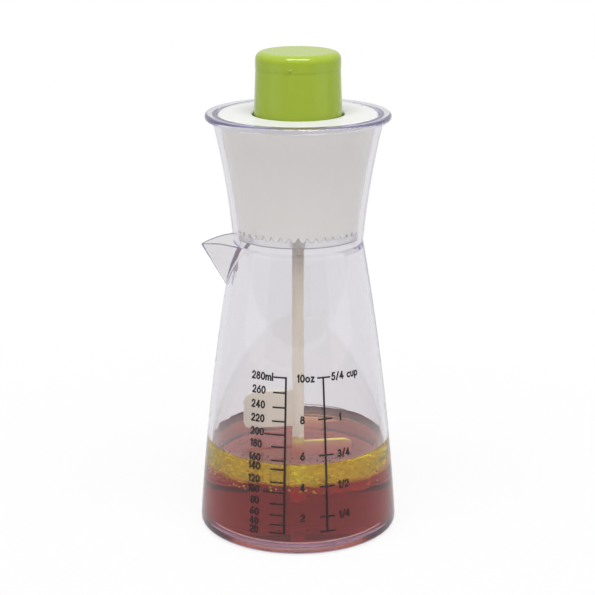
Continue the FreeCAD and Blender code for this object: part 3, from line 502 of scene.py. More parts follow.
def olive_oil():
    """Olive oil on the vinegar: yellow in depth, with slow ripples on its surface. At the wall it is clear,
    since the plastic bends the light there, with a fine emulsion at the front. On the vinegar it bends light
    only a little."""
    dressing = bpy.context.scene.mixer_dressing
    made, tree, place = blank_material("olive_oil")
    stretch = add(tree, "ShaderNodeMapping", {"Scale": (0.45, 1.0, 1.0)}, {"Vector": place})
    swell = add(tree, "ShaderNodeTexNoise", {"Scale": 1 / (9 * MM), "Detail": 2.0}, {"Vector": stretch})
    relief = add(tree, "ShaderNodeBump", {"Strength": 0.3, "Distance": 0.05 * MM}, {"Height": swell})
    free, lying = [add(tree, "ShaderNodeBsdfPrincipled",
                       {"Base Color": WHITE, "Roughness": 0.0, "IOR": OIL_INDEX / against,
                        "Transmission Weight": 1.0}, {"Normal": relief})
                   for against in (AIR_INDEX, VINEGAR_INDEX)]
    streaks = add(tree, "ShaderNodeMapping", {"Scale": (1.0, 1.0, 2.5)}, {"Vector": place})
    cloud = add(tree, "ShaderNodeTexNoise", {"Scale": 1 / (2.4 * MM), "Detail": 2.0}, {"Vector": streaks})
    thick = add(tree, "ShaderNodeMapRange",
                {"From Min": 0.35, "From Max": 0.7, "To Min": 0.28, "To Max": 0.48}, {"Value": cloud})
    open_oil = add(tree, "ShaderNodeBsdfTransparent")
    emulsion = add(tree, "ShaderNodeBsdfDiffuse", {"Color": tuple(dressing.haze)})
    side = add(tree, "ShaderNodeAttribute", attribute_name=SIDE)
    at_wall = add(tree, "ShaderNodeMath", {1: (EDGE_SIDE + WALL_SIDE) / 2, 2: 2 * SIDE_MARGIN},
                  {0: (side, "Fac")}, operation="COMPARE")
    against = add(tree, "ShaderNodeMath", {1: WALL_SIDE, 2: SIDE_MARGIN}, {0: (side, "Fac")},
                  operation="COMPARE")
    parts = add(tree, "ShaderNodeSeparateXYZ", links={"Vector": place})
    front = add(tree, "ShaderNodeMapRange", {"From Min": 0.0, "From Max": -12 * MM}, {"Value": (parts, "Y")})
    spread = add(tree, "ShaderNodeMath", links={0: against, 1: front}, operation="MULTIPLY")
    haze = add(tree, "ShaderNodeMath", links={0: spread, 1: thick}, operation="MULTIPLY")
    clear = add(tree, "ShaderNodeMixShader", links={0: haze, 1: open_oil, 2: emulsion})
    on_top = add(tree, "ShaderNodeMath", {1: TOP_SIDE, 2: SIDE_MARGIN}, {0: (side, "Fac")},
                 operation="COMPARE")
    level = add(tree, "ShaderNodeMixShader", links={0: on_top, 1: lying, 2: free})
    surface = add(tree, "ShaderNodeMixShader", links={0: at_wall, 1: level, 2: clear})
    depth = add(tree, "ShaderNodeVolumeAbsorption",
                {"Color": tuple(dressing.oil), "Density": dressing.oil_density})
    add(tree, "ShaderNodeOutputMaterial", links={"Surface": surface, "Volume": depth})
    return made


def bead_liquid(name, colour, index):
    """Small drops of one liquid held in the other: clear, tinted, with a soft swirl of colour."""
    made, tree, place = blank_material(name)
    swirl = add(tree, "ShaderNodeTexNoise", {"Scale": 1 / (1.5 * MM)}, {"Vector": place})
    deep = scaled(colour, 0.7)
    shade = add(tree, "ShaderNodeMix", {FIRST_COLOUR: deep, SECOND_COLOUR: tuple(colour)}, {0: swirl},
                data_type="RGBA")
    shader = add(tree, "ShaderNodeBsdfPrincipled",
                 {"Roughness": 0.05, "IOR": index, "Transmission Weight": 0.35},
                 {"Base Color": (shade, MIXED_COLOUR)})
    add(tree, "ShaderNodeOutputMaterial", links={"Surface": shader})
    return made


# Printed scale

def line(*corners):
    """A stroke through its corners."""
    return [np.array(corners, float)]


def arc(centre, radii, first, last, steps=20):
    """Points on an ellipse's arc between two angles in degrees."""
    turn = np.radians(np.linspace(first, last, steps))
    return [np.stack([centre[0] + radii[0] * np.cos(turn), centre[1] + radii[1] * np.sin(turn)], 1)]


def ring(centre, radii):
    """A closed stroke round an ellipse."""
    return arc(centre, radii, 0, 360, steps=33)


# Strokes of the figures and letters in a box of unit height: width, then centre lines
STROKES = {
    "0": (1.0, ring((0.5, 0.5), (0.5, 0.5))),
    "1": (0.45, line((0.05, 0.8), (0.36, 1.0)) + line((0.36, 1.0), (0.36, 0.0))),
    "2": (1.0, [np.concatenate(arc((0.48, 0.7), (0.46, 0.3), 172, -35) + line((0.02, 0.0)))]
          + line((0.02, 0.0), (1.0, 0.0))),
    "3": (0.95, arc((0.45, 0.75), (0.41, 0.25), 155, -90) + arc((0.45, 0.26), (0.48, 0.26), 90, -155)),
    "4": (1.08, line((0.74, 1.0), (0.0, 0.27)) + line((0.0, 0.27), (1.08, 0.27))
          + line((0.74, 1.0), (0.74, 0.0))),
    "5": (0.95, line((0.88, 1.0), (0.25, 1.0)) + line((0.25, 1.0), (0.12, 0.55))
          + arc((0.43, 0.32), (0.5, 0.32), 128, -150)),
    "6": (1.0, ring((0.5, 0.31), (0.5, 0.31)) + line((0.78, 1.0), (0.07, 0.45))),
    "8": (1.0, ring((0.5, 0.76), (0.38, 0.24)) + ring((0.5, 0.27), (0.5, 0.27))),
    "/": (0.72, line((0.0, -0.06), (0.72, 1.06))),
    "m": (1.5, line((0.0, 0.0), (0.0, 0.66)) + arc((0.375, 0.4), (0.375, 0.26), 180, 0, 12)
          + line((0.75, 0.4), (0.75, 0.0)) + arc((1.125, 0.4), (0.375, 0.26), 180, 0, 12)
          + line((1.5, 0.4), (1.5, 0.0))),
    "l": (0.05, line((0.02, 0.0), (0.02, 1.05))),
    "o": (1.05, ring((0.52, 0.33), (0.52, 0.33))),
    "z": (0.85, line((0.04, 0.66), (0.8, 0.66)) + line((0.8, 0.66), (0.02, 0.0))
          + line((0.02, 0.0), (0.84, 0.0))),
    "c": (0.85, arc((0.5, 0.33), (0.5, 0.33), 48, 312)),
    "u": (0.85, [np.concatenate(line((0.0, 0.66)) + arc((0.42, 0.26), (0.42, 0.26), 180, 360)
                                + line((0.84, 0.66)))]),
    "p": (1.05, ring((0.54, 0.33), (0.5, 0.33)) + line((0.02, 0.66), (0.02, -0.34))),
    " ": (0.45, []),
}

# Heights of the marks in millimetres, with their labels
MILLILITRES = {280: 74.5, 260: 68.24, 240: 62.17, 220: 56.44, 200: 50.91, 180: 45.81, 160: 40.07,
               140: 36.35, 120: 30.92, 100: 26.63, 80: 21.84, 60: 17.04, 40: 12.96, 20: 9.39}
OUNCES = {"10oz": (74.3, "5/4 cup"), "8": (57.24, "1"), "6": (42.2, "3/4"), "4": (29.08, "1/2"),
          "2": (16.26, "1/4")}
LAST_OUNCE_MARK = 9.93
LONG_MARKS = (100, 200)
# Places round the body in degrees
MARK_END = -16.3
LONG_MARK_END = -21.0
NUMBER_ENDS = {200: -22.3, 180: -23.4, 0: -23.9}
TOP_NUMBER_END = -17.3
LABEL_RISE = 0.6 * MM
OUNCE_CENTRE = 2.7
TOP_OUNCE_START = -0.4
OUNCE_MARK = (13.2, 21.6)
CUP_STARTS = {"1": 27.2, "3/4": 25.2, "1/2": 24.9, "1/4": 24.9}
TOP_CUP_START = 23.2
PRINT_RADIUS = 38 * MM
PRINT_STEP = 0.3 * MM
PRINT_LIFT = 0.03 * MM
# How far an open stroke runs past its ends, as a share of its width
STROKE_REACH = 0.4


def label_width(text):
    """Width of a label on the carafe."""
    scale = bpy.context.scene.mixer_scale
    widths = [STROKES[letter][0] * scale.figure_width for letter in text]
    return sum(widths) + scale.figure_gap * (len(text) - 1)


def lettering(text, height, start=None, centre=None, end=None):
    """Strokes of a label at a height, in the flat of the print, placed by its start, centre or end angle."""
    scale = bpy.context.scene.mixer_scale
    squeeze = PRINT_RADIUS / wall_line(height)
    width = label_width(text) * squeeze
    if start is not None:
        pen = math.radians(start) * PRINT_RADIUS
    elif end is not None:
        pen = math.radians(end) * PRINT_RADIUS - width
    else:
        pen = math.radians(centre) * PRINT_RADIUS - width / 2
    strokes = []
    for letter in text:
        letter_width, shapes = STROKES[letter]
        for shape in shapes:
            across = pen + shape[:, 0] * scale.figure_width * squeeze
            up = height + (shape[:, 1] - 0.5) * scale.figure_height
            strokes.append(np.stack([across, up], 1))
        pen += (letter_width * scale.figure_width + scale.figure_gap) * squeeze
    return strokes


def level_mark(height, first, last):
    """A tick between two angles in degrees."""
    return line(*[(math.radians(angle) * PRINT_RADIUS, height) for angle in (first, last)])


def ink_tree():
    """Lays a flat ribbon of ink along each stroke."""
    tree, entry = new_tree("ink_strokes", {"Width": "Float", "Film": "Float", "Step": "Float",
                                           "Material": "Material"})
    paths = add(tree, "GeometryNodeMeshToCurve", links={"Mesh": (entry, "Geometry")})
    even = add(tree, "GeometryNodeResampleCurve", links={"Curve": paths, "Length": (entry, "Step")},
               mode="LENGTH")
    upright = add(tree, "GeometryNodeSetCurveNormal", links={"Curve": even}, mode="Z_UP")
    section = add(tree, "GeometryNodeCurvePrimitiveQuadrilateral",
                  links={"Width": (entry, "Width"), "Height": (entry, "Film")})
    ribbon = add(tree, "GeometryNodeCurveToMesh", {"Fill Caps": True},
                 {"Curve": upright, "Profile Curve": section})
    close_tree(tree, entry, ribbon, "Mesh")
    return tree


def print_strokes(name, strokes, width, tree, ink):
    """Ink the strokes in the flat, then wrap them on the carafe."""
    scale = bpy.context.scene.mixer_scale
    points = []
    edges = []
    for stroke in strokes:
        first = len(points)
        closed = len(stroke) > 2 and np.allclose(stroke[0], stroke[-1])
        kept = stroke[:-1] if closed else stroke.copy()
        if not closed:
            for end, inner in ((0, 1), (-1, -2)):
                way = kept[end] - kept[inner]
                kept[end] = kept[end] + way / np.linalg.norm(way) * width * STROKE_REACH
        points.extend((across, up, 0.0) for across, up in kept)
        edges.extend((first + step, first + step + 1) for step in range(len(kept) - 1))
        if closed:
            edges.append((first + len(kept) - 1, first))
    values = {"Width": width, "Film": scale.ink_film, "Step": PRINT_STEP, "Material": ink}
    made = grown(name, tree, values, points, edges)
    flat = np.zeros(len(made.data.vertices) * 3)
    made.data.vertices.foreach_get("co", flat)
    across, up, out = flat.reshape(-1, 3).T
    angle = across / PRINT_RADIUS
    radius = wall_line(up) + PRINT_LIFT + out
    wrapped = np.stack([radius * np.sin(angle), -radius * np.cos(angle), up], 1)
    made.data.vertices.foreach_set("co", wrapped.ravel())
    made.data.update()
    return made


# Operators

class MIXER_OT_carafe(bpy.types.Operator):
    """Clear plastic for the carafe and its foot plate, clear silicone for the seals"""
    bl_idname = "mixer.carafe"
    bl_label = "Carafe"

    def execute(self, context):
        plastic = clear_plastic()
        silicone = clear_silicone()
        for node in ("carafe", "base_plate"):
            dress(node, plastic)
        for node in ("lid_seal", "shaft_seal"):
            dress(node, silicone)
        return {"FINISHED"}


class MIXER_OT_lid(bpy.types.Operator):
    """White polypropylene for the lid's cup and cover"""
    bl_idname = "mixer.lid"
    bl_label = "Lid"

    def execute(self, context):
        finish = context.scene.mixer_finish
        for node, name, colour in (("lid_cup", "warm_white_moulded_pp", finish.warm_white),
                                   ("lid_cover", "white_moulded_pp", finish.white)):
            dress(node, moulded_plastic(name, colour, darker=0.97, smooth=0.34, dull=0.46, grain=0.5 * MM,
                                        relief_depth=0.03 * MM))
        return {"FINISHED"}


class MIXER_OT_button(bpy.types.Operator):
    """Glossy green ABS for the push button"""
    bl_idname = "mixer.button"
    bl_label = "Button"

    def execute(self, context):
        finish = context.scene.mixer_finish
        green = moulded_plastic("green_moulded_abs", finish.green, darker=0.95, smooth=0.1, dull=0.17,
                                grain=1.1 * MM, relief_depth=0.004 * MM, shine=0.45)
        dress("button", green)
        self.make_gate_mark(finish, green)
        return {"FINISHED"}

    def make_gate_mark(self, finish, material):
        """The low dome that the mould's gate leaves on the button's side."""
        mesh = NODES["button"].data
        solid = BVHTree.FromPolygons([point.co for point in mesh.vertices],
                                     [face.vertices for face in mesh.polygons])
        outward = Vector((math.sin(finish.gate_angle), -math.cos(finish.gate_angle), 0.0))
        start = outward * FAR_OUT + Vector((0.0, 0.0, finish.gate_height))
        place, normal = solid.ray_cast(start, -outward)[:2]
        across = Vector((0.0, 0.0, 1.0)).cross(normal).normalized()
        along = normal.cross(across)
        turns = [2 * math.pi * step / DOME_STEPS for step in range(DOME_STEPS)]
        ways = [across * math.cos(turn) + along * math.sin(turn) for turn in turns]
        rings = []
        for width, rise in DOME_LINE:
            base = place + normal * (finish.gate_rise * rise)
            rings.append([base + way * (finish.gate_radius * width) for way in ways])
        points, faces = lofted(rings)
        top = len(points)
        last = top - DOME_STEPS
        faces.append(tuple(reversed(range(DOME_STEPS))))
        faces += [(last + step, last + (step + 1) % DOME_STEPS, top) for step in range(DOME_STEPS)]
        points = np.concatenate([points, [place + normal * finish.gate_rise]])
        mark = mesh_object("gate_mark", points, faces, material)
        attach(mark, "plunger")


class MIXER_OT_stirrer(bpy.types.Operator):
    """Cream polypropylene for the shaft and its paddles"""
    bl_idname = "mixer.stirrer"
    bl_label = "Stirrer"

    def execute(self, context):
        cream = moulded_plastic("cream_moulded_pp", context.scene.mixer_finish.cream, darker=0.94,
                                smooth=0.32, dull=0.44, grain=0.7 * MM, relief_depth=0.03 * MM)
        self.stain(cream.node_tree)
        dress("agitator", cream)
        return {"FINISHED"}

    def stain(self, tree):
        """Paints the end that stands in the dressing a lighter cream: painted light, for light that the
        liquid doesn't let through to it.
        """
        finish = bpy.context.scene.mixer_finish
        shader = next(node for node in tree.nodes if node.type == "BSDF_PRINCIPLED")
        plain = shader.inputs["Base Color"].links[0].from_socket
        place = (add(tree, "ShaderNodeTexCoord"), "Object")
        parts = add(tree, "ShaderNodeSeparateXYZ", links={"Vector": place})
        surface = bpy.context.scene.mixer_dressing.surface
        # Painted light: the lighter cream takes over below the oil's surface
        soaked = add(tree, "ShaderNodeMapRange",
                     {"From Min": surface + PAINTED_LIGHT_FADE, "From Max": surface - PAINTED_LIGHT_FADE},
                     {"Value": (parts, "Z")})
        shade = add(tree, "ShaderNodeMix", {SECOND_COLOUR: tuple(finish.oiled)}, {0: soaked},
                    data_type="RGBA")
        tree.links.new(plain, shade.inputs[FIRST_COLOUR])
        tree.links.new(shade.outputs[MIXED_COLOUR], shader.inputs["Base Color"])


class MIXER_OT_works(bpy.types.Operator):
    """Drive pieces inside the lid, with a wound return spring"""
    bl_idname = "mixer.works"
    bl_label = "Works"

    def execute(self, context):
        acetal = moulded_plastic("natural_machined_acetal", context.scene.mixer_finish.natural, darker=0.95,
                                 smooth=0.3, dull=0.42, grain=0.6 * MM, relief_depth=0.02 * MM)
        steel = drawn_steel()
        for node in ("nut_carrier", "drive_nut", "spiral_rod", "thrust_washer", "shaft_bush"):
            dress(node, acetal)
        for node in ("spring_washer", "retaining_clip"):
            dress(node, steel)
        self.make_spring(steel)
        return {"FINISHED"}

    def make_spring(self, steel):
        """The return spring, in the box of its solid."""
        low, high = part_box("return_spring")
        whole = high.z - low.z
        tree, entry = new_tree("wound_spring", {"Turns": "Float", "Radius": "Float", "Height": "Float",
                                                "Wire": "Float", "Material": "Material"})
        coil = add(tree, "GeometryNodeCurveSpiral", {"Resolution": 48},
                   {"Rotations": (entry, "Turns"), "Start Radius": (entry, "Radius"),
                    "End Radius": (entry, "Radius"), "Height": (entry, "Height")})
        section = add(tree, "GeometryNodeCurvePrimitiveCircle", {"Resolution": 14},
                      {"Radius": (entry, "Wire")})
        tube = add(tree, "GeometryNodeCurveToMesh", {"Fill Caps": True},
                   {"Curve": coil, "Profile Curve": section})
        smooth = add(tree, "GeometryNodeSetShadeSmooth", links={"Geometry": tube})
        close_tree(tree, entry, smooth, "Geometry")
        wire = SPRING_WIRE / 2
        values = {"Turns": SPRING_TURNS, "Radius": high.x - wire, "Height": whole - SPRING_WIRE,
                  "Wire": wire, "Material": steel}
        spring = grown("wound_spring", tree, values, [(0, 0, 0)])
        spring.data.transform(Matrix.Translation((0.0, 0.0, low.z + wire)))
        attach(spring, "lid")
        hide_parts("return_spring")
        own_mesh(spring)


class MIXER_OT_scale(bpy.types.Operator):
    """Scale in millilitres, ounces and cups printed on the front of the carafe"""
    bl_idname = "mixer.scale"
    bl_label = "Printed scale"

    def execute(self, context):
        scale = context.scene.mixer_scale
        left = math.degrees(scale.left_line)
        right = math.degrees(scale.right_line)
        figures = []
        marks = []
        for volume, millimetres in MILLILITRES.items():
            height = millimetres * MM
            if volume == max(MILLILITRES):
                figures += lettering(f"{volume}ml", height, end=TOP_NUMBER_END)
            else:
                end = next(angle for least, angle in NUMBER_ENDS.items() if volume >= least)
                figures += lettering(str(volume), height + LABEL_RISE, end=end)
            marks += level_mark(height, left, LONG_MARK_END if volume in LONG_MARKS else MARK_END)
        for text, (millimetres, cups) in OUNCES.items():
            height = millimetres * MM
            marks += level_mark(height, *OUNCE_MARK)
            if len(text) > 1:
                figures += lettering(text, height, start=TOP_OUNCE_START)
                figures += lettering(cups, height, start=TOP_CUP_START)
            else:
                figures += lettering(text, height, centre=OUNCE_CENTRE)
                figures += lettering(cups, height, start=CUP_STARTS[cups])
        marks += level_mark(LAST_OUNCE_MARK * MM, *OUNCE_MARK)
        left_side = scale.left_line * PRINT_RADIUS
        right_side = scale.right_line * PRINT_RADIUS
        lines = line(*[(left_side, end(MILLILITRES.values()) * MM) for end in (min, max)])
        lines += line((right_side, LAST_OUNCE_MARK * MM), (right_side, OUNCES["10oz"][0] * MM))
        tree = ink_tree()
        ink = screen_ink()
        for name, strokes, width in (("scale_figures", figures, scale.figure_stroke),
                                     ("scale_marks", marks, scale.tick_stroke),
                                     ("scale_lines", lines, scale.line_stroke)):
            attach(print_strokes(name, strokes, width, tree, ink), "bottle")
        return {"FINISHED"}


# The dressing's shape: steps round it, how far it sinks into the wall, and how far the oil laps the vinegar
SEGMENTS = 192
SINK = 0.3 * MM
LAP = 0.1 * MM
# Insets of its rings from the wall in millimetres, on the layer and on the surface, and the axis
LAYER_RINGS = (0, 0.4, 0.9, 1.6, 2.5, 3.6, 5, 7, 10, 14, 20, 28, 35)
SURFACE_RINGS = (0, 0.2, 0.4, 0.7, 1.1, 1.6, 2.4, 3.6, 6, 12, 20, 28, 33)
AXIS_INSET = 60 * MM
# Rings on the wall below and above the layer, and their distance from it
LOW_WALL_RINGS = 14
HIGH_WALL_RINGS = 8
RING_GAP = 1.2 * MM
# Rim of the layer that is left clear, as the oil's side is
EDGE_ZONE = 5 * MM
# How far from the wall the surface climbs
MENISCUS_REACH = 1.1 * MM
# Sway of the layer at the wall: its height, then size, waves round and phase of each part
SWAY_HEIGHT = 0.35 * MM
SWAY = ((1.0, 3, 0.4), (0.7, 7, 1.9), (0.5, 13, 2.7), (0.35, 29, 0.8))
# Places round the wall in degrees, from the right and past the back: first, last and count
SKIN_ARC = (32, 148, 120)
FILM_ARC = (14, 166, 90)
BEAD_ARC = (185, 355, 60)
# The creamy line: half its height, how its ends taper, its sides, and its inset as a share of that half
SKIN_HALF = 0.3 * MM
SKIN_TAPER = 0.4
SKIN_SIDES = 8
SKIN_INSET = 1.1
# The film: its foot above the layer, its head below the surface, its ragged top, and its two faces
FILM_FOOT = 0.6 * MM
FILM_HEAD = 0.3 * MM
FILM_RAG = 0.25 * MM
FILM_WAVES = (37, 11)
FILM_BACK = 0.1 * MM
FILM_FRONT = 0.25 * MM
# Power that makes most beads small
BEAD_POWER = 1.7


def layer_height(angles, inset):
    """Where the oil meets the vinegar: it sways towards the wall and falls towards the back wall."""
    dressing = bpy.context.scene.mixer_dressing
    near = math.exp(-max(inset, 0.0) / dressing.dip_reach)
    sway = sum(size * np.sin(waves * angles + phase) for size, waves, phase in SWAY)
    fall = dressing.dip * (0.5 + 0.5 * np.sin(angles))
    return dressing.layer - near * (fall - SWAY_HEIGHT * sway)


class MIXER_OT_dressing(bpy.types.Operator):
    """Oil floating on vinegar, as two closed liquids that reach a little into the wall, so no air shows"""
    bl_idname = "mixer.dressing"
    bl_label = "Dressing"

    def execute(self, context):
        self.make_liquids(context.scene.mixer_dressing, context.scene.mixer_carafe)
        self.make_skin()
        self.make_film()
        self.make_beads()
        return {"FINISHED"}

    def make_liquids(self, dressing, carafe):
        """The vinegar from the floor to the layer, and the oil from the layer to the surface."""
        angles = np.arange(SEGMENTS) * 2 * math.pi / SEGMENTS
        floor = carafe.floor_height - SINK
        contact = dressing.layer - dressing.dip
        middle = float(layer_height(0.0, AXIS_INSET))
        layer_insets = [-SINK] + [step * MM for step in LAYER_RINGS]
        layer = [(inset, layer_height(angles, inset)) for inset in layer_insets]
        low_wall = np.linspace(floor, contact - RING_GAP, LOW_WALL_RINGS)
        rings = [on_wall(angles, height, -SINK) for height in low_wall]
        rings += [on_wall(angles, heights, inset) for inset, heights in layer]
        sides = [LOW_SIDE] * (len(rings) + 1)
        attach(turned("vinegar", floor, rings, middle, red_vinegar(), sides), "bottle")
        high_wall = np.linspace(dressing.layer + RING_GAP, dressing.surface, HIGH_WALL_RINGS)
        rings = [on_wall(angles, heights - LAP, inset) for inset, heights in reversed(layer)]
        rings += [on_wall(angles, height, -SINK) for height in high_wall]
        surface_insets = [-SINK] + [step * MM for step in SURFACE_RINGS]
        for inset in surface_insets:
            climb = dressing.meniscus * math.exp(-inset / MENISCUS_REACH)
            rings.append(on_wall(angles, dressing.surface + climb, inset))
        edge = sum(inset <= EDGE_ZONE for inset in layer_insets)
        sides = [LOW_SIDE] * (len(layer_insets) + 1 - edge) + [EDGE_SIDE] * (edge - 1)
        sides += [WALL_SIDE] * (HIGH_WALL_RINGS + 1) + [TOP_SIDE] * len(surface_insets)
        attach(turned("oil", middle - LAP, rings, dressing.surface, olive_oil(), sides), "bottle")

    def make_skin(self):
        """A thin creamy line at the back wall, where the oil, the vinegar and the wall meet."""
        angles = np.radians(np.linspace(*SKIN_ARC))
        taper = np.sin(np.linspace(0, math.pi, len(angles))) ** SKIN_TAPER
        heights = layer_height(angles, 0.0)
        rows = []
        for turn in np.arange(SKIN_SIDES) * 2 * math.pi / SKIN_SIDES:
            inset = SKIN_HALF * (SKIN_INSET + math.cos(turn) * taper)
            rows.append(on_wall(angles, heights + SKIN_HALF * taper * math.sin(turn), inset))
        cream = moulded_plastic("creamy_emulsion", bpy.context.scene.mixer_dressing.skin, darker=0.8,
                                smooth=0.3, dull=0.5, grain=0.4 * MM, relief_depth=0.05 * MM)
        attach(swept("emulsion_line", np.stack(rows, 1), cream), "bottle")

    def make_film(self):
        """A thin film of vinegar that clings to the back wall behind the oil."""
        dressing = bpy.context.scene.mixer_dressing
        angles = np.radians(np.linspace(*FILM_ARC))
        low = layer_height(angles, 0.0) + FILM_FOOT
        rag = FILM_RAG * np.sin(angles * FILM_WAVES[0]) * np.sin(angles * FILM_WAVES[1])
        high = dressing.surface - FILM_HEAD + rag
        corners = ((low, FILM_FRONT), (high, FILM_FRONT), (high, FILM_BACK), (low, FILM_BACK))
        rows = [on_wall(angles, level, inset) for level, inset in corners]
        made, tree, place = blank_material("clinging_vinegar")
        cloud = add(tree, "ShaderNodeTexNoise", {"Scale": 1 / (4 * MM), "Detail": 3.0}, {"Vector": place})
        shade = add(tree, "ShaderNodeMix",
                    {FIRST_COLOUR: tuple(dressing.film), SECOND_COLOUR: linear("#DDB29F")}, {0: cloud},
                    data_type="RGBA")
        shader = add(tree, "ShaderNodeBsdfTransparent", links={"Color": (shade, MIXED_COLOUR)})
        add(tree, "ShaderNodeOutputMaterial", links={"Surface": shader})
        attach(swept("vinegar_film", np.stack(rows, 1), made), "bottle")

    def make_beads(self):
        """Vinegar beads in the oil and oil beads in the vinegar, thickest at the left of the front."""
        dressing = bpy.context.scene.mixer_dressing
        tree = self.bead_tree()
        angles = np.radians(np.linspace(*BEAD_ARC))
        edge = layer_height(angles, 0.0)
        count = len(angles)
        faces = [(k, k + 1, count + k + 1, count + k) for k in range(count - 1)]
        red = bead_liquid("vinegar_bead", dressing.bead, VINEGAR_INDEX / OIL_INDEX)
        gold = bead_liquid("oil_bead", dressing.foam, OIL_INDEX / VINEGAR_INDEX)
        for name, material, inset, low, high, density, least, most in (
                ("vinegar_specks", red, 0.5 * MM, 2.0 * MM, 11.8 * MM, 0.9e6, 0.14 * MM, 0.46 * MM),
                ("vinegar_beads", red, 0.8 * MM, 0.6 * MM, 6.0 * MM, 0.16e6, 0.25 * MM, 0.7 * MM),
                ("oil_beads", gold, 0.8 * MM, -3.2 * MM, -0.6 * MM, 0.35e6, 0.18 * MM, 0.6 * MM)):
            points = np.concatenate([on_wall(angles, edge + rise, inset) for rise in (low, high)])
            values = {"Density": density, "Least": least, "Most": most, "Seed": dressing.beads,
                      "Material": material}
            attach(grown(name, tree, values, points, faces=faces), "bottle")

    def bead_tree(self):
        """Scatters beads on a band, fewer to the right, most of them small."""
        tree, entry = new_tree("beads", {"Density": "Float", "Least": "Float", "Most": "Float",
                                         "Seed": "Int", "Material": "Material"})
        place = add(tree, "GeometryNodeInputPosition")
        parts = add(tree, "ShaderNodeSeparateXYZ", links={"Vector": place})
        share = add(tree, "ShaderNodeMapRange",
                    {"From Min": -30 * MM, "From Max": 25 * MM, "To Min": 1.0, "To Max": 0.15},
                    {"Value": (parts, "X")})
        amount = add(tree, "ShaderNodeMath", links={0: share, 1: (entry, "Density")}, operation="MULTIPLY")
        points = add(tree, "GeometryNodeDistributePointsOnFaces",
                     links={"Mesh": (entry, "Geometry"), "Density": amount, "Seed": (entry, "Seed")})
        chance = add(tree, "FunctionNodeRandomValue", links={"Seed": (entry, "Seed")}, data_type="FLOAT")
        few = add(tree, "ShaderNodeMath", {1: BEAD_POWER}, {0: (chance, RANDOM_NUMBER)}, operation="POWER")
        radius = add(tree, "ShaderNodeMapRange", links={"Value": few, "To Min": (entry, "Least"),
                                                        "To Max": (entry, "Most")})
        ball = add(tree, "GeometryNodeMeshUVSphere", {"Segments": 8, "Rings": 6, "Radius": 1.0})
        smooth = add(tree, "GeometryNodeSetShadeSmooth", links={"Geometry": ball})
        balls = add(tree, "GeometryNodeInstanceOnPoints",
                    links={"Points": points, "Instance": (smooth, "Geometry"), "Scale": radius})
        close_tree(tree, entry, balls, "Instances")
        return tree


# Most bounces of a ray, and most clear faces that it passes
BOUNCES = 64
CLEAR_BOUNCES = 32
# Camera: sensor in millimetres, sideways shift as a share of it, and how far it sees
SENSOR = 36.0
CAMERA_SHIFT = -0.00106
FAR_CLIP = 20.0
# The table's half width, and how far it lies under the foot
TABLE_HALF = 4.0
TABLE_DROP = 0.2 * MM
# Soft boxes: place, size and watts, all aimed at one point
LAMP_AIM = (0, 0, 0.1)
LAMPS = {
    "left_box": ((-0.75, -0.35, 0.35), (0.6, 0.8), 0.7),
    "right_box": ((0.75, -0.35, 0.35), (0.6, 0.8), 0.7),
    "top_box": ((0.0, -0.25, 0.95), (0.65, 0.2), 5.8),
}


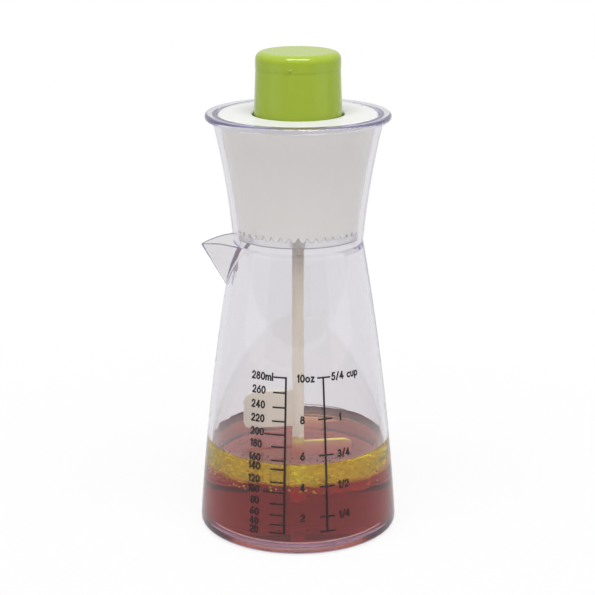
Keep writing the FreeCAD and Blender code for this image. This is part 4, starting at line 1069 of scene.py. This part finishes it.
class MIXER_OT_stage(bpy.types.Operator):
    """Camera, pale table and soft studio light"""
    bl_idname = "mixer.stage"
    bl_label = "Stage"

    def execute(self, context):
        scene = context.scene
        stage = scene.mixer_stage
        scene.view_settings.view_transform = "Standard"
        scene.cycles.max_bounces = BOUNCES
        scene.cycles.glossy_bounces = BOUNCES
        scene.cycles.transmission_bounces = BOUNCES
        scene.cycles.transparent_max_bounces = CLEAR_BOUNCES
        lens = bpy.data.cameras.new("camera")
        lens.lens = stage.focal
        lens.sensor_width = SENSOR
        lens.shift_x = CAMERA_SHIFT
        lens.clip_end = FAR_CLIP
        camera = bpy.data.objects.new("camera", lens)
        camera.location = (0.0, -stage.camera_back, stage.camera_height)
        camera.rotation_euler = (math.pi / 2 - stage.camera_pitch, 0.0, 0.0)
        scene.collection.objects.link(camera)
        scene.camera = camera
        self.make_table(stage.table)
        self.make_sky(scene, stage)
        for name, (place, size, power) in LAMPS.items():
            self.make_lamp(scene, name, place, size, power)
        return {"FINISHED"}

    def seen(self, tree):
        """One where the camera looks, straight or through clear pieces and reflections, and nought where
        light is gathered."""
        path = add(tree, "ShaderNodeLightPath")
        return add(tree, "ShaderNodeMath", {1: 0.5}, {0: (path, "Diffuse Depth")}, operation="LESS_THAN")

    def shown(self, tree, level=1.0):
        """Plain white for the camera, and the level that clear and glossy pieces show."""
        path = add(tree, "ShaderNodeLightPath")
        return add(tree, "ShaderNodeMix", {"A": level, "B": 1.0}, {"Factor": (path, "Is Camera Ray")})

    def make_table(self, level):
        """A wide pale table that turns to plain white away from the object and keeps its soft shadow."""
        made, tree, place = blank_material("pale_table")
        seen = self.seen(tree)
        away = add(tree, "ShaderNodeVectorMath", links={0: place}, operation="LENGTH")
        clear = add(tree, "ShaderNodeMapRange",
                    {"From Min": 50 * MM, "From Max": 300 * MM, "To Min": 0.9, "To Max": 1.0},
                    {"Value": (away, "Value")}, interpolation_type="SMOOTHSTEP")
        open_part = add(tree, "ShaderNodeMapRange",
                        {"From Min": 36 * MM, "From Max": 43 * MM, "To Min": 0.38, "To Max": 1.0},
                        {"Value": (away, "Value")}, interpolation_type="SMOOTHSTEP")
        lit = add(tree, "ShaderNodeMath", links={0: clear, 1: open_part}, operation="MULTIPLY")
        share = add(tree, "ShaderNodeMath", links={0: seen, 1: lit}, operation="MULTIPLY")
        matt = add(tree, "ShaderNodeBsdfDiffuse", {"Color": linear("#F0F0F0")})
        glow = add(tree, "ShaderNodeEmission", {"Color": WHITE}, {"Strength": self.shown(tree, level)})
        mix = add(tree, "ShaderNodeMixShader", links={0: share, 1: matt, 2: glow})
        add(tree, "ShaderNodeOutputMaterial", links={"Surface": mix})
        corners = [(across * TABLE_HALF, back * TABLE_HALF, -TABLE_DROP)
                   for across, back in ((-1, -1), (1, -1), (1, 1), (-1, 1))]
        mesh_object("table", corners, [(0, 1, 2, 3)], made)

    def make_sky(self, scene, stage):
        """Even light all round; a white back and a dim front to the eye."""
        scene.world = bpy.data.worlds.new("studio")
        scene.world.use_nodes = True
        tree = scene.world.node_tree
        tree.nodes.clear()
        path = add(tree, "ShaderNodeLightPath")
        way = (add(tree, "ShaderNodeTexCoord"), "Object")
        parts = add(tree, "ShaderNodeSeparateXYZ", links={"Vector": way})
        through = add(tree, "ShaderNodeMapRange", {"To Min": stage.inside, "To Max": stage.above},
                      {"Value": (parts, "Z")})
        strength = add(tree, "ShaderNodeMix", {"A": stage.sky},
                       {"Factor": (path, "Is Transmission Ray"), "B": through})
        light = add(tree, "ShaderNodeBackground", {"Color": WHITE}, {"Strength": strength})
        walls = add(tree, "ShaderNodeMapRange",
                    {"From Min": -0.3, "From Max": 0.3, "To Min": stage.front, "To Max": stage.back},
                    {"Value": (parts, "Y")})
        high = add(tree, "ShaderNodeMapRange", {"From Min": 0.35, "From Max": 0.7}, {"Value": (parts, "Z")})
        room = add(tree, "ShaderNodeMix", {"B": stage.ceiling}, {"Factor": high, "A": walls})
        shown = self.shown(tree)
        tree.links.new(room.outputs["Result"], shown.inputs["A"])
        white = add(tree, "ShaderNodeBackground", {"Color": WHITE}, {"Strength": shown})
        mix = add(tree, "ShaderNodeMixShader", links={0: self.seen(tree), 1: light, 2: white})
        add(tree, "ShaderNodeOutputWorld", links={"Surface": mix})

    def make_lamp(self, scene, name, place, size, power):
        """A soft box that lights the pieces and isn't seen through the clear ones."""
        lamp = bpy.data.lights.new(name, "AREA")
        lamp.shape = "RECTANGLE"
        lamp.size, lamp.size_y = size
        lamp.energy = power
        made = bpy.data.objects.new(name, lamp)
        made.location = place
        way = [to - at for to, at in zip(LAMP_AIM, place)]
        across = math.hypot(way[0], way[1])
        made.rotation_euler = (math.atan2(across, -way[2]), 0.0, math.atan2(way[1], way[0]) - math.pi / 2)
        made.visible_transmission = False
        scene.collection.objects.link(made)


OPERATORS = (MIXER_OT_carafe, MIXER_OT_lid, MIXER_OT_button, MIXER_OT_stirrer, MIXER_OT_works,
             MIXER_OT_scale, MIXER_OT_dressing, MIXER_OT_stage)


class MIXER_PT_panel(bpy.types.Panel):
    """Settings and makers of the mixer"""
    bl_idname = "MIXER_PT_panel"
    bl_label = "Dressing mixer"
    bl_space_type = "VIEW_3D"
    bl_region_type = "UI"
    bl_category = "Mixer"

    def draw(self, context):
        for group, settings in GROUPS.items():
            box = self.layout.box()
            for name in settings.__annotations__:
                box.prop(getattr(context.scene, group), name)
        for operator in OPERATORS:
            self.layout.operator(operator.bl_idname)


def register():
    for name, group in GROUPS.items():
        bpy.utils.register_class(group)
        setattr(bpy.types.Scene, name, PointerProperty(type=group))
    for item in OPERATORS + (MIXER_PT_panel,):
        bpy.utils.register_class(item)


def unregister():
    for item in reversed(OPERATORS + (MIXER_PT_panel,)):
        bpy.utils.unregister_class(item)
    for name, group in GROUPS.items():
        delattr(bpy.types.Scene, name)
        bpy.utils.unregister_class(group)


def main():
    register()
    for operator in OPERATORS:
        family, name = operator.bl_idname.split(".")
        getattr(getattr(bpy.ops, family), name)()


if __name__ == "__main__":
    main()
